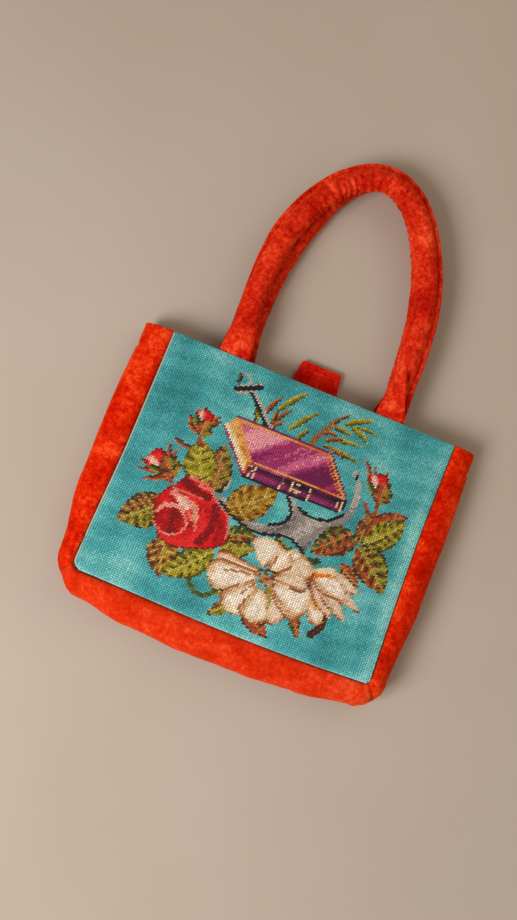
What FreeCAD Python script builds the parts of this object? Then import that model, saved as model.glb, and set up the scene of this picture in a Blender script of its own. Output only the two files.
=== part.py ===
import FreeCAD, Part
import math
import os
import Sketcher
from FreeCAD import Placement, Rotation, Vector

# Knitting bag with a needlepoint front, a puffed velvet gusset on three sides, a lining,
# two padded loop handles and a closure tab with a press stud.
#
# Frame: millimetres. The bag lies on its back. +X runs along the mouth, +Y runs from the base
# to the mouth and the handles, and +Z points out of the needlepoint. The origin is the middle
# of the back panel's flat outer face.

DRIVING_SIZES = {
    # Panels
    "panel_width": 300,
    "panel_height": 248,
    "corner_radius": 9,
    "base_depth": 40,
    "mouth_depth": 30,
    "crown": 9,
    "wool": 1.6,
    "canvas": 0.8,
    "velvet": 2,
    "lining": 1,
    "layer_gap": 0.2,
    "tail_room": 1.8,
    "tail_drop": 0.32,
    "seam_gap": 0.5,
    "lining_inset": 0.6,
    # How far the gusset stands out past the panel's edge, from the mouth round to the mouth
    "left_bulge_mouth": 32,
    "left_bulge_middle": 33,
    "left_bulge_low": 30,
    "left_bulge_end": 17,
    "left_bulge_corner": 16,
    "base_bulge_start": 22,
    "base_bulge_left": 35,
    "base_bulge_right": 37,
    "base_bulge_end": 27,
    "right_bulge_corner": 23,
    "right_bulge_start": 20,
    "right_bulge_low": 26,
    "right_bulge_middle": 27.5,
    "right_bulge_mouth": 26.5,
    "widest_share": 0.42,
    # Handles
    "tube_width": 22.5,
    "tube_thickness": 18,
    "cover_thickness": 1.5,
    "core_gap": 0.2,
    "flange_width": 5.5,
    "flange_thickness": 2.4,
    "end_width": 31,
    "end_thickness": 2.4,
    "handle_clearance": 2.5,
    "front_tube_height": 27.8,
    "back_tube_height": 9.2,
    "front_root_height": 30.8,
    "back_root_height": 3,
    "tail_length": 12,
    "tail_thickness": 1.2,
    # Closure tab and press stud
    "tab_tip_width": 42,
    "tab_root_width": 49,
    "tab_length": 25,
    "tab_corner_radius": 3,
    "tab_layer": 1.4,
    "tab_layer_gap": 0.6,
    "tab_height": 3.4,
    "stud_radius": 6.5,
    "stud_flange": 1,
    "post_radius": 2,
    "post_length": 1.8,
    "socket_radius": 7,
    "socket_thickness": 2.4,
    "socket_bore_radius": 2.2,
    "socket_base": 0.4,
    "washer_radius": 6,
    "washer_hole_radius": 2.4,
    "washer_thickness": 0.4,
    "stud_from_tip": 12,
    "socket_from_mouth": 13,
}

# Corners of the polygon that each handle's centre line follows, from its left root to its
# right root. Every corner between the ends is rounded to an arc.
FRONT_HANDLE_LINE = [
    (-87, 150), (-91.5, 185), (-88, 235), (-78, 283), (-50, 332), (-10, 356),
    (26, 340), (52, 302), (72.5, 249), (76.5, 198), (79, 150),
]
BACK_HANDLE_LINE = [
    (-81, 150), (-82, 190), (-78, 237), (-67, 285), (-48, 338), (-10, 365),
    (30, 345), (57, 295), (73, 240), (77, 195), (80.5, 150),
]
ARC_SHARE = 0.45
QUARTER_HANDLE = 0.5523
STEPS_IN_CORNER = 6
STEPS_ALONG_SIDE = 9

# Lengths that only help the construction
SLOPE_REACH = 1
ABOVE_THE_BAG = 100
SAME_PLACE = 0.01

doc = FreeCAD.newDocument("KnittingBag")
sheet = doc.addObject("Spreadsheet::Sheet", "Sizes")
for row, (alias, value) in enumerate(DRIVING_SIZES.items(), start=1):
    sheet.set(f"A{row}", alias)
    sheet.set(f"B{row}", str(value))
    sheet.setAlias(f"B{row}", alias)
doc.recompute()

nodes = []


def size(alias):
    return float(sheet.get(alias))


WIDTH = size("panel_width")
HEIGHT = size("panel_height")
RADIUS = size("corner_radius")
MOUTH_Y = HEIGHT / 2


# Sketch and body helpers


def new_body(label):
    body = doc.addObject("PartDesign::Body", label)
    body.Label = label
    nodes.append(body)
    return body


def sketch_on(body, role, name):
    plane = [f for f in body.Origin.OriginFeatures if f.Role == role][0]
    sketch = body.newObject("Sketcher::SketchObject", name)
    sketch.AttachmentSupport = [(plane, "")]
    sketch.MapMode = "FlatFace"
    return sketch


def bind(sketch, constraint, name, expression):
    index = sketch.addConstraint(constraint)
    sketch.renameConstraint(index, name)
    sketch.setExpression(f"Constraints.{name}", expression)


def pad(body, sketch, thickness):
    feature = body.newObject("PartDesign::Pad", body.Label + "_pad")
    feature.Profile = sketch
    feature.setExpression("Length", thickness)
    sketch.Visibility = False
    return feature


def join(sketch, first, second):
    sketch.addConstraint(Sketcher.Constraint("Coincident", first, 2, second, 1))


def outline_sketch(body, inset_expression, inset):
    """A panel's outline: square at the mouth, rounded at the two base corners."""
    sketch = sketch_on(body, "XY_Plane", body.Label + "_outline")
    half = WIDTH / 2 - inset
    top = MOUTH_Y - inset
    radius = RADIUS - inset
    left_centre = Vector(-half + radius, -top + radius, 0)
    right_centre = Vector(half - radius, -top + radius, 0)
    up = Vector(0, 0, 1)
    sketch.addGeometry(Part.LineSegment(Vector(half, top, 0), Vector(-half, top, 0)))
    sketch.addGeometry(Part.LineSegment(Vector(-half, top, 0), Vector(-half, left_centre.y, 0)))
    sketch.addGeometry(Part.ArcOfCircle(Part.Circle(left_centre, up, radius), math.pi, 1.5 * math.pi))
    sketch.addGeometry(Part.LineSegment(Vector(left_centre.x, -top, 0), Vector(right_centre.x, -top, 0)))
    sketch.addGeometry(Part.ArcOfCircle(Part.Circle(right_centre, up, radius), 1.5 * math.pi, 2 * math.pi))
    sketch.addGeometry(Part.LineSegment(Vector(half, right_centre.y, 0), Vector(half, top, 0)))
    join(sketch, 0, 1)
    join(sketch, 5, 0)
    for first in (1, 2, 3, 4):
        sketch.addConstraint(Sketcher.Constraint("Tangent", first, 2, first + 1, 1))
    sketch.addConstraint(Sketcher.Constraint("Vertical", 1))
    sketch.addConstraint(Sketcher.Constraint("Vertical", 5))
    sketch.addConstraint(Sketcher.Constraint("Horizontal", 3))
    sketch.addConstraint(Sketcher.Constraint("Symmetric", 0, 1, 0, 2, -2))
    sketch.addConstraint(Sketcher.Constraint("Equal", 2, 4))
    bind(sketch, Sketcher.Constraint("DistanceX", 0, 2, 0, 1, 2 * half), "width",
         f"Sizes.panel_width - 2 * ({inset_expression})")
    bind(sketch, Sketcher.Constraint("DistanceY", -1, 1, 0, 1, top), "mouth",
         f"Sizes.panel_height / 2 - ({inset_expression})")
    bind(sketch, Sketcher.Constraint("DistanceY", 3, 1, -1, 1, top), "base",
         f"Sizes.panel_height / 2 - ({inset_expression})")
    bind(sketch, Sketcher.Constraint("Radius", 2, radius), "corner",
         f"Sizes.corner_radius - ({inset_expression})")
    return sketch


def polygon_sketch(body, corners, measures):
    """A closed polygon. Each measure is (name, corner index, axis, expression) from the origin."""
    sketch = sketch_on(body, "XY_Plane", body.Label + "_sketch")
    count = len(corners)
    for i, corner in enumerate(corners):
        following = corners[(i + 1) % count]
        sketch.addGeometry(Part.LineSegment(Vector(*corner, 0), Vector(*following, 0)))
    for i in range(count):
        join(sketch, i, (i + 1) % count)
    for name, i, axis, expression in measures:
        value = corners[i]["XY".index(axis)]
        ends = (-1, 1, i, 1) if value >= 0 else (i, 1, -1, 1)
        sign = "" if value >= 0 else "-"
        constraint = Sketcher.Constraint("Distance" + axis, *ends, abs(value))
        bind(sketch, constraint, name, f"{sign}({expression})")
    return sketch


def plain_feature(label, shape):
    feature = doc.addObject("Part::Feature", label)
    feature.Label = label
    feature.Shape = shape
    nodes.append(feature)
    return feature


# Panels


def seam_height(y):
    """Height of the front seam: the bag is deeper at the base than at the mouth."""
    along = (y + HEIGHT / 2) / HEIGHT
    return size("base_depth") + (size("mouth_depth") - size("base_depth")) * along


def front_height(x, y):
    """Height of the needlepoint's outer face, which crowns over what is in the bag."""
    across = 1 - (2 * x / WIDTH) ** 2
    along = 1 - (2 * y / HEIGHT) ** 2
    return seam_height(y) + size("crown") * across * along


def outline_wire(inset, z):
    half = WIDTH / 2 - inset
    top = MOUTH_Y - inset
    radius = RADIUS - inset
    up = Vector(0, 0, 1)
    left_centre = Vector(-half + radius, -top + radius, z)
    right_centre = Vector(half - radius, -top + radius, z)
    return Part.Wire([
        Part.LineSegment(Vector(half, top, z), Vector(-half, top, z)).toShape(),
        Part.LineSegment(Vector(-half, top, z), Vector(-half, left_centre.y, z)).toShape(),
        Part.Arc(Part.Circle(left_centre, up, radius), math.pi, 1.5 * math.pi).toShape(),
        Part.LineSegment(Vector(left_centre.x, -top, z), Vector(right_centre.x, -top, z)).toShape(),
        Part.Arc(Part.Circle(right_centre, up, radius), 1.5 * math.pi, 2 * math.pi).toShape(),
        Part.LineSegment(Vector(half, right_centre.y, z), Vector(half, top, z)).toShape(),
    ])


def crowned_layer(depth_below, thickness, inset):
    """A layer of the front, thickness thick, whose outer face is depth_below the wool's face."""
    surface = Part.BezierSurface()
    surface.increase(2, 2)
    for i, x in enumerate((-WIDTH / 2, 0, WIDTH / 2), start=1):
        for j, y in enumerate((-HEIGHT / 2, 0, HEIGHT / 2), start=1):
            rise = 4 * size("crown") if x == 0 and y == 0 else 0
            surface.setPole(i, j, Vector(x, y, seam_height(y) + rise - depth_below))
    slab = surface.toShape().extrude(Vector(0, 0, -thickness))
    outline = Part.Face(outline_wire(inset, 0)).extrude(Vector(0, 0, ABOVE_THE_BAG))
    return slab.common(outline).Solids[0]


def make_front():
    below_wool = size("wool")
    below_canvas = below_wool + size("canvas")
    tail_room = size("tail_room")
    plain_feature("needlepoint", crowned_layer(0, size("wool"), 0))
    plain_feature("canvas", crowned_layer(below_wool, size("canvas"), 0))
    plain_feature("front_lining",
                  crowned_layer(below_canvas + tail_room, size("lining"), size("lining_inset")))
    return below_canvas, below_canvas + tail_room + size("lining")


def make_back():
    panel = new_body("back_panel")
    pad(panel, outline_sketch(panel, "0", 0), "Sizes.velvet * 1 mm")
    lining = new_body("back_lining")
    pad(lining, outline_sketch(lining, "Sizes.lining_inset", size("lining_inset")),
        "Sizes.lining * 1 mm")
    lining_z = size("velvet") + size("tail_thickness") + 2 * size("layer_gap")
    lining.Placement = Placement(Vector(0, 0, lining_z), Rotation())
    return lining_z


# Gusset


def quarter(start, corner, end):
    """A quarter of an ellipse from start to end, bulging towards corner."""
    first = start + (corner - start) * QUARTER_HANDLE
    second = end + (corner - end) * QUARTER_HANDLE
    curve = Part.BezierCurve()
    curve.setPoles([start, first, second, end])
    return curve.toShape()


def strip_section(station, outer_inset, inner_inset):
    """Cross-section of the gusset strip, a thin C from the front seam to the back seam."""
    point, outward, bulge = station
    depth = seam_height(point.y)
    middle = size("widest_share") * depth

    def place(out, z):
        return Vector(point.x + outward.x * out, point.y + outward.y * out, z)

    def ends(inset):
        low = place(0, inset)
        high = place(0, depth - inset)
        side = place(bulge - inset, middle)
        return low, high, side

    low_o, high_o, side_o = ends(outer_inset)
    low_i, high_i, side_i = ends(inner_inset)
    out_o = bulge - outer_inset
    out_i = bulge - inner_inset
    return Part.Wire([
        quarter(high_o, place(out_o, high_o.z), side_o),
        quarter(side_o, place(out_o, low_o.z), low_o),
        Part.LineSegment(low_o, low_i).toShape(),
        quarter(low_i, place(out_i, low_i.z), side_i),
        quarter(side_i, place(out_i, high_i.z), high_i),
        Part.LineSegment(high_i, high_o).toShape(),
    ])


def eased(values, share):
    """The value at that share of a run, where the values stand evenly along it."""
    place = share * (len(values) - 1)
    i = min(int(place), len(values) - 2)
    ease = (1 - math.cos(math.pi * (place - i))) / 2
    return values[i] * (1 - ease) + values[i + 1] * ease


def straight_stations(start, end, outward, bulges):
    """Stations along one straight seam, with the ends included."""
    stations = []
    for step in range(STEPS_ALONG_SIDE + 1):
        share = step / STEPS_ALONG_SIDE
        stations.append((start + (end - start) * share, outward, eased(bulges, share)))
    return stations


def corner_stations(side, bulges):
    """Stations round a base corner, between the ends of the straight seams."""
    centre = Vector(side * (WIDTH / 2 - RADIUS), -HEIGHT / 2 + RADIUS, 0)
    start_angle = 180 if side < 0 else 270
    stations = []
    for step in range(1, STEPS_IN_CORNER):
        share = step / STEPS_IN_CORNER
        angle = math.radians(start_angle + 90 * share)
        outward = Vector(math.cos(angle), math.sin(angle), 0)
        point = centre + outward * (RADIUS + size("seam_gap"))
        stations.append((point, outward, eased(bulges, share)))
    return stations


def gusset_stations():
    """Where the strip's cross-sections stand, in three runs that meet in the corners."""
    seam_x = WIDTH / 2 + size("seam_gap")
    seam_y = HEIGHT / 2 + size("seam_gap")
    corner_x = WIDTH / 2 - RADIUS
    corner_y = -HEIGHT / 2 + RADIUS
    left_bulges = [size(f"left_bulge_{place}") for place in ("mouth", "middle", "low", "end")]
    base_bulges = [size(f"base_bulge_{place}") for place in ("start", "left", "right", "end")]
    right_bulges = [size(f"right_bulge_{place}") for place in ("start", "low", "middle", "mouth")]
    left = straight_stations(
        Vector(-seam_x, MOUTH_Y, 0), Vector(-seam_x, corner_y, 0), Vector(-1, 0, 0), left_bulges)
    base = straight_stations(
        Vector(-corner_x, -seam_y, 0), Vector(corner_x, -seam_y, 0), Vector(0, -1, 0), base_bulges)
    right = straight_stations(
        Vector(seam_x, corner_y, 0), Vector(seam_x, MOUTH_Y, 0), Vector(1, 0, 0), right_bulges)
    left_corner = corner_stations(
        -1, [left_bulges[-1], size("left_bulge_corner"), base_bulges[0]])
    right_corner = corner_stations(
        1, [base_bulges[-1], size("right_bulge_corner"), right_bulges[0]])
    middle = STEPS_IN_CORNER // 2 - 1
    return {
        "left": left + left_corner[:middle + 1],
        "base": left_corner[middle:] + base + right_corner[:middle + 1],
        "right": right_corner[middle:] + right,
    }


def make_gusset():
    inner = size("velvet")
    lining_outer = inner + size("layer_gap")
    lining_inner = lining_outer + size("lining")
    for name, stations in gusset_stations().items():
        velvet = Part.makeLoft([strip_section(s, 0, inner) for s in stations], True, True)
        plain_feature(f"{name}_gusset", velvet)
        cloth = Part.makeLoft(
            [strip_section(s, lining_outer, lining_inner) for s in stations], True, True)
        plain_feature(f"{name}_lining", cloth)


# Handles


def rounded_line(corners, z):
    """Straight runs through the corners, joined by tangent arcs as large as the runs allow."""
    points = [Vector(x, y, z) for x, y in corners]
    edges = []
    last = points[0]
    for before, corner, after in zip(points, points[1:], points[2:]):
        back = before - corner
        ahead = after - corner
        reach = ARC_SHARE * min(back.Length, ahead.Length)
        back.normalize()
        ahead.normalize()
        start = corner + back * reach
        end = corner + ahead * reach
        half_angle = back.getAngle(ahead) / 2
        to_centre = back + ahead
        to_centre.normalize()
        radius = reach * math.tan(half_angle)
        centre = corner + to_centre * (reach / math.cos(half_angle))
        middle = centre - to_centre * radius
        edges.append(Part.LineSegment(last, start).toShape())
        edges.append(Part.Arc(start, middle, end).toShape())
        last = end
    edges.append(Part.LineSegment(last, points[-1]).toShape())
    return Part.Wire(edges)


def ellipse_wire(centre, along, width, thickness):
    """An ellipse across the direction along, width wide and thickness high."""
    across = along.cross(Vector(0, 0, 1))
    across.normalize()
    wide = centre + across * (width / 2)
    high = centre + Vector(0, 0, thickness / 2)
    return Part.Wire([Part.Ellipse(wide, high, centre).toShape()])


def flange_wire(centre, along, outer_reach):
    """The flat seam edge on the outer side of the loop, from the tube's middle outwards."""
    out = Vector(0, 0, 1).cross(along)
    out.normalize()
    half = Vector(0, 0, size("flange_thickness") / 2)
    near = centre + out * (size("tube_width") / 2 - size("cover_thickness"))
    far = centre + out * outer_reach
    return Part.makePolygon([near - half, far - half, far + half, near + half, near - half])


def swept(line, wire):
    return line.makePipeShell([wire], True, False)


def end_piece(tube_centre, along, root):
    """Where the tube flattens and widens into the end that is sewn into the rim."""
    sections = [
        ellipse_wire(tube_centre, along, size("tube_width"), size("tube_thickness")),
        ellipse_wire(root, Vector(0, 1, 0), size("end_width"), size("end_thickness")),
    ]
    return Part.makeLoft(sections, True, True)


def make_handle(name, corners, tube_z, root_z):
    line = rounded_line(corners, tube_z)
    first = Vector(*corners[0], tube_z)
    last = Vector(*corners[-1], tube_z)
    first_along = Vector(*corners[1], tube_z) - first
    last_along = Vector(*corners[-2], tube_z) - last
    first_along.normalize()
    last_along.normalize()
    root_y = MOUTH_Y + size("handle_clearance")
    tube = swept(line, ellipse_wire(first, first_along, size("tube_width"), size("tube_thickness")))
    reach = size("tube_width") / 2 + size("flange_width")
    flange = swept(line, flange_wire(first, first_along, reach))
    cover = tube.fuse([
        flange,
        end_piece(first, first_along, Vector(first.x, root_y, root_z)),
        end_piece(last, last_along, Vector(last.x, root_y, root_z)),
    ])
    hollow = 2 * size("cover_thickness")
    space = swept(line, ellipse_wire(
        first, first_along, size("tube_width") - hollow, size("tube_thickness") - hollow))
    slack = hollow + 2 * size("core_gap")
    core = swept(line, ellipse_wire(
        first, first_along, size("tube_width") - slack, size("tube_thickness") - slack))
    plain_feature(f"{name}_cover", cover.cut(space).Solids[0])
    plain_feature(f"{name}_core", core)
    return first.x, last.x


def make_tail(label, x, z, tilt):
    """The flat end of a handle or tab that is sewn in between the outer cloth and the lining."""
    body = new_body(label)
    half = size("end_width") / 2
    length = size("tail_length")
    corners = [(-half, 0), (half, 0), (half, -length), (-half, -length)]
    sketch = polygon_sketch(body, corners, [
        ("left", 0, "X", "-Sizes.end_width / 2"),
        ("right", 1, "X", "Sizes.end_width / 2"),
        ("low_right", 2, "X", "Sizes.end_width / 2"),
        ("low_left", 3, "X", "-Sizes.end_width / 2"),
        ("top_left", 0, "Y", "0"),
        ("top_right", 1, "Y", "0"),
        ("bottom_right", 2, "Y", "-Sizes.tail_length"),
        ("bottom_left", 3, "Y", "-Sizes.tail_length"),
    ])
    pad(body, sketch, "Sizes.tail_thickness * 1 mm")
    inside = MOUTH_Y - size("seam_gap")
    body.Placement = Placement(Vector(x, inside, z), Rotation(Vector(1, 0, 0), tilt))


# Closure tab and press stud


def tab_layer(label, z):
    body = new_body(label)
    root = size("tab_root_width") / 2
    tip = size("tab_tip_width") / 2
    length = size("tab_length")
    corners = [(-root, 0), (root, 0), (tip, length), (-tip, length)]
    sketch = polygon_sketch(body, corners, [
        ("root_left", 0, "X", "-Sizes.tab_root_width / 2"),
        ("root_right", 1, "X", "Sizes.tab_root_width / 2"),
        ("tip_right", 2, "X", "Sizes.tab_tip_width / 2"),
        ("tip_left", 3, "X", "-Sizes.tab_tip_width / 2"),
        ("root_y_left", 0, "Y", "0"),
        ("root_y_right", 1, "Y", "0"),
        ("tip_y_right", 2, "Y", "Sizes.tab_length"),
        ("tip_y_left", 3, "Y", "Sizes.tab_length"),
    ])
    flat = pad(body, sketch, "Sizes.tab_layer * 1 mm")
    doc.recompute()
    tips = [
        f"Edge{i}" for i, edge in enumerate(flat.Shape.Edges, start=1)
        if abs(edge.Vertexes[0].Y - length) < SAME_PLACE
        and abs(edge.Vertexes[-1].Y - length) < SAME_PLACE
        and abs(edge.Vertexes[0].Z - edge.Vertexes[-1].Z) > SAME_PLACE
    ]
    fillet = body.newObject("PartDesign::Fillet", label + "_tip_corners")
    fillet.Base = (flat, tips)
    fillet.setExpression("Radius", "Sizes.tab_corner_radius * 1 mm")
    body.Placement = Placement(Vector(0, MOUTH_Y + size("handle_clearance"), z), Rotation())


def turned(label, outline, measures, placement):
    """A turned piece. The outline is (radius, height) corners about the sketch's vertical axis."""
    body = new_body(label)
    sketch = sketch_on(body, "XZ_Plane", label + "_profile")
    count = len(outline)
    for i, corner in enumerate(outline):
        following = outline[(i + 1) % count]
        sketch.addGeometry(Part.LineSegment(Vector(*corner, 0), Vector(*following, 0)))
    for i in range(count):
        join(sketch, i, (i + 1) % count)
    for i, (radius, height) in enumerate(measures):
        for axis, value, expression in (("X", outline[i][0], radius), ("Y", outline[i][1], height)):
            constraint = Sketcher.Constraint("Distance" + axis, -1, 1, i, 1, value)
            bind(sketch, constraint, f"corner{i}{axis}", expression)
    revolution = body.newObject("PartDesign::Revolution", label + "_turned")
    revolution.Profile = sketch
    revolution.ReferenceAxis = (sketch, ["V_Axis"])
    revolution.Angle = 360
    sketch.Visibility = False
    body.Placement = placement


def make_washer(label, placement):
    body = new_body(label)
    sketch = sketch_on(body, "XY_Plane", label + "_rings")
    up = Vector(0, 0, 1)
    for i, alias in enumerate(("washer_radius", "washer_hole_radius")):
        sketch.addGeometry(Part.Circle(Vector(0, 0, 0), up, size(alias)))
        sketch.addConstraint(Sketcher.Constraint("Coincident", i, 3, -1, 1))
        bind(sketch, Sketcher.Constraint("Radius", i, size(alias)), alias, f"Sizes.{alias} * 1 mm")
    pad(body, sketch, "Sizes.washer_thickness * 1 mm")
    body.Placement = placement


def make_stud():
    flange = size("stud_flange")
    full = flange + size("post_length")
    outline = [(0, 0), (size("stud_radius"), 0), (size("stud_radius"), flange),
               (size("post_radius"), flange), (size("post_radius"), full), (0, full)]
    measures = [("0", "0"), ("Sizes.stud_radius", "0"), ("Sizes.stud_radius", "Sizes.stud_flange"),
                ("Sizes.post_radius", "Sizes.stud_flange"),
                ("Sizes.post_radius", "Sizes.stud_flange + Sizes.post_length"),
                ("0", "Sizes.stud_flange + Sizes.post_length")]
    stud_y = MOUTH_Y + size("handle_clearance") + size("tab_length") - size("stud_from_tip")
    facing_down = Rotation(Vector(1, 0, 0), 180)
    turned("snap_stud", outline, measures,
           Placement(Vector(0, stud_y, size("tab_height")), facing_down))
    washer_z = size("tab_height") + size("tab_layer") + size("tab_layer_gap") / 2
    washer_z -= size("washer_thickness") / 2
    make_washer("stud_washer", Placement(Vector(0, stud_y, washer_z), Rotation()))


def make_socket(below_canvas, below_lining):
    y = MOUTH_Y - size("socket_from_mouth")
    rise = front_height(0, y + SLOPE_REACH) - front_height(0, y - SLOPE_REACH)
    slope = math.atan2(rise, 2 * SLOPE_REACH)
    normal = Rotation(Vector(1, 0, 0), math.degrees(slope))
    facing_down = normal.multiply(Rotation(Vector(1, 0, 0), 180))
    thick = size("socket_thickness")
    bore = size("socket_bore_radius")
    base = size("socket_base")
    outline = [(bore, thick), (bore, base), (0, base), (0, 0), (size("socket_radius"), 0),
               (size("socket_radius"), thick)]
    measures = [("Sizes.socket_bore_radius", "Sizes.socket_thickness"),
                ("Sizes.socket_bore_radius", "Sizes.socket_base"),
                ("0", "Sizes.socket_base"), ("0", "0"), ("Sizes.socket_radius", "0"),
                ("Sizes.socket_radius", "Sizes.socket_thickness")]
    under_lining = front_height(0, y) - below_lining - size("layer_gap")
    turned("snap_socket", outline, measures, Placement(Vector(0, y, under_lining), facing_down))
    washer_z = front_height(0, y) - below_canvas - 2 * size("layer_gap")
    make_washer("socket_washer", Placement(
        Vector(0, y, washer_z - size("washer_thickness")), normal))


def front_tail_height(x, below_canvas):
    """Height and tilt of a tail that lies under the canvas at the mouth."""
    inside = MOUTH_Y - size("seam_gap")
    start = front_height(x, inside)
    end = front_height(x, inside - size("tail_length"))
    tilt = math.degrees(math.atan2(start - end, size("tail_length")))
    under = start - below_canvas - size("tail_drop") - size("tail_thickness")
    return under, tilt


below_canvas, below_lining = make_front()
back_lining_z = make_back()
make_gusset()
front_roots = make_handle(
    "front_handle", FRONT_HANDLE_LINE, size("front_tube_height"), size("front_root_height"))
back_roots = make_handle(
    "back_handle", BACK_HANDLE_LINE, size("back_tube_height"), size("back_root_height"))
for side, x in zip(("left", "right"), front_roots):
    tail_z, tail_tilt = front_tail_height(x, below_canvas)
    make_tail(f"front_handle_{side}_tail", x, tail_z, tail_tilt)
for side, x in zip(("left", "right"), back_roots):
    make_tail(f"back_handle_{side}_tail", x, size("velvet") + size("layer_gap"), 0)
make_tail("tab_tail", 0, size("velvet") + size("layer_gap"), 0)
tab_layer("tab_lower", size("tab_height"))
tab_layer("tab_upper", size("tab_height") + size("tab_layer") + size("tab_layer_gap"))
make_stud()
make_socket(below_canvas, below_lining)

doc.recompute()

for item in doc.Objects:
    if "Invalid" in item.State or "Error" in item.State:
        raise RuntimeError(f"{item.Label} did not recompute: {item.State}")
for node in nodes:
    if node.Shape.isNull() or not node.Shape.isValid() or node.Shape.Volume <= 0:
        raise RuntimeError(f"{node.Label} has no valid solid")

os.makedirs("parts", exist_ok=True)
for node in nodes:
    node.Shape.exportStep(f"parts/{node.Label}.step")
    print(f"{node.Label}: {node.Shape.Volume / 1000:.2f} cm3, {len(node.Shape.Solids)} solid")
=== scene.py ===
import math

import bpy
import numpy as np
from mathutils import Matrix, Vector, noise


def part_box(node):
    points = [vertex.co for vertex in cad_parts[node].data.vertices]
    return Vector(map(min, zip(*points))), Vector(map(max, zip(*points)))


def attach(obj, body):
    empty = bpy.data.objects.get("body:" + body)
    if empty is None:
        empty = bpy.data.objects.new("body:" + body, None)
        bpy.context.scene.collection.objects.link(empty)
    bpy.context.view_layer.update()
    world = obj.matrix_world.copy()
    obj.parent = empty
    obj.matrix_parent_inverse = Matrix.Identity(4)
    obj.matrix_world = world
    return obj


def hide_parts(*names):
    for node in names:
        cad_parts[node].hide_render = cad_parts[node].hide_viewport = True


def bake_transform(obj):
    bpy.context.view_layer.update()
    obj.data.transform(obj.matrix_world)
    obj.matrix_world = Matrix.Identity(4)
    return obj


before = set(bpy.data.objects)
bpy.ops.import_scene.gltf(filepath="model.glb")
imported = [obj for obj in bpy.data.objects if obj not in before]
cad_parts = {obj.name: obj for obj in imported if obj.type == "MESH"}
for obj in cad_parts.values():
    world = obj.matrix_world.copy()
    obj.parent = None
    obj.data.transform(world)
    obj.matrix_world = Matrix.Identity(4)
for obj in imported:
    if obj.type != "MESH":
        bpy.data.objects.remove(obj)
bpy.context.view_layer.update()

# A needlepoint knitting bag with a puffed velvet gusset, padded loop handles and a snap tab,
# lying on its back. Metres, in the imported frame: +X along the mouth, +Y to the handles, +Z up
# out of the needlepoint.

MM = 0.001

PANEL_LOW, PANEL_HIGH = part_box("needlepoint")
HALF_WIDTH = (PANEL_HIGH[0] - PANEL_LOW[0]) / 2
HALF_HEIGHT = (PANEL_HIGH[1] - PANEL_LOW[1]) / 2
LEFT_CORNER = 9 * MM
RIGHT_CORNER = 5 * MM
BASE_DEPTH = 40 * MM
MOUTH_DEPTH = 30 * MM
CROWN = 9 * MM
WOOL = 1.6 * MM
RIM_RADIUS = 1.7 * MM
STITCHES_ACROSS = 132
STITCHES_UP = 122
RIM_ROWS = 3


# Mesh helpers


def mesh_object(name, points, faces, material, smooth=True):
    """A linked mesh object with one material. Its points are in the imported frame."""
    mesh = bpy.data.meshes.new(name)
    mesh.from_pydata(np.asarray(points, float).reshape(-1, 3).tolist(), [], faces)
    mesh.polygons.foreach_set("use_smooth", [smooth] * len(mesh.polygons))
    mesh.materials.append(material)
    mesh.update()
    obj = bpy.data.objects.new(name, mesh)
    bpy.context.collection.objects.link(obj)
    return obj


def grid_faces(rows, columns, start=0, closed=False):
    """Quads of a grid of points, closed round the columns if asked."""
    faces = []
    last = columns if closed else columns - 1
    for i in range(rows - 1):
        for j in range(last):
            k = (j + 1) % columns
            a = start + i * columns
            b = a + columns
            faces.append((a + j, a + k, b + k, b + j))
    return faces


def slab(name, upper, lower, material):
    """A closed sheet from two grids of points that share their shape, upper over lower."""
    rows, columns = upper.shape[:2]
    count = rows * columns
    faces = grid_faces(rows, columns)
    faces += [tuple(count + i for i in reversed(f)) for f in grid_faces(rows, columns)]
    border = [(0, j) for j in range(columns)]
    border += [(i, columns - 1) for i in range(1, rows)]
    border += [(rows - 1, j) for j in range(columns - 2, -1, -1)]
    border += [(i, 0) for i in range(rows - 2, 0, -1)]
    ring = [i * columns + j for i, j in border]
    walls = [(b, a, count + a, count + b) for a, b in zip(ring, ring[1:] + ring[:1])]
    points = np.concatenate([upper.reshape(-1, 3), lower.reshape(-1, 3)])
    obj = mesh_object(name, points, faces + walls, material)
    smooth = [True] * len(faces) + [False] * len(walls)
    obj.data.polygons.foreach_set("use_smooth", smooth)
    return obj


def capped_tube(name, rings, material):
    """A closed tube through rings of points, with a flat cap at each end."""
    rows, sides = rings.shape[:2]
    faces = grid_faces(rows, sides, 0, True)
    faces.append(tuple(reversed(range(sides))))
    faces.append(tuple(range((rows - 1) * sides, rows * sides)))
    return mesh_object(name, rings, faces, material)


def dress(obj, body=None, node=None):
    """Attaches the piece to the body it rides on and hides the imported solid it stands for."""
    if body:
        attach(obj, body)
    if node:
        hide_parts(node)


def colour_points(obj, colours):
    """Stores a colour on each point, for a material to read as Colour."""
    layer = obj.data.color_attributes.new("Colour", "FLOAT_COLOR", "POINT")
    rgba = np.ones((len(obj.data.vertices), 4), np.float32)
    rgba[:, :3] = colours
    layer.data.foreach_set("color", rgba.ravel())


def rumple(points, scale, seed=0.0):
    """Smooth noise from -1 to 1 at each point, with features about scale across."""
    shift = Vector((seed, 2 * seed, 3 * seed))
    flat = np.asarray(points, float).reshape(-1, 3) / scale
    return np.array([noise.noise(Vector(p) + shift) for p in flat])


def smooth_step(x, low, high):
    """0 below low, 1 above high, and an even ease between them."""
    t = np.clip((x - low) / (high - low), 0, 1)
    return t * t * (3 - 2 * t)


def unit(vectors, least=1e-9):
    """The vectors scaled to a length of 1."""
    return vectors / np.maximum(np.linalg.norm(vectors, axis=-1, keepdims=True), least)


def linear(red, green, blue):
    """A colour given from 0 to 255, as linear light."""
    return tuple((c / 255) ** 2.2 for c in (red, green, blue))


def linear_light(colours):
    """An array of colours from 0 to 255, as linear light."""
    return (np.clip(colours, 0, 255) / 255) ** 2.2


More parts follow.
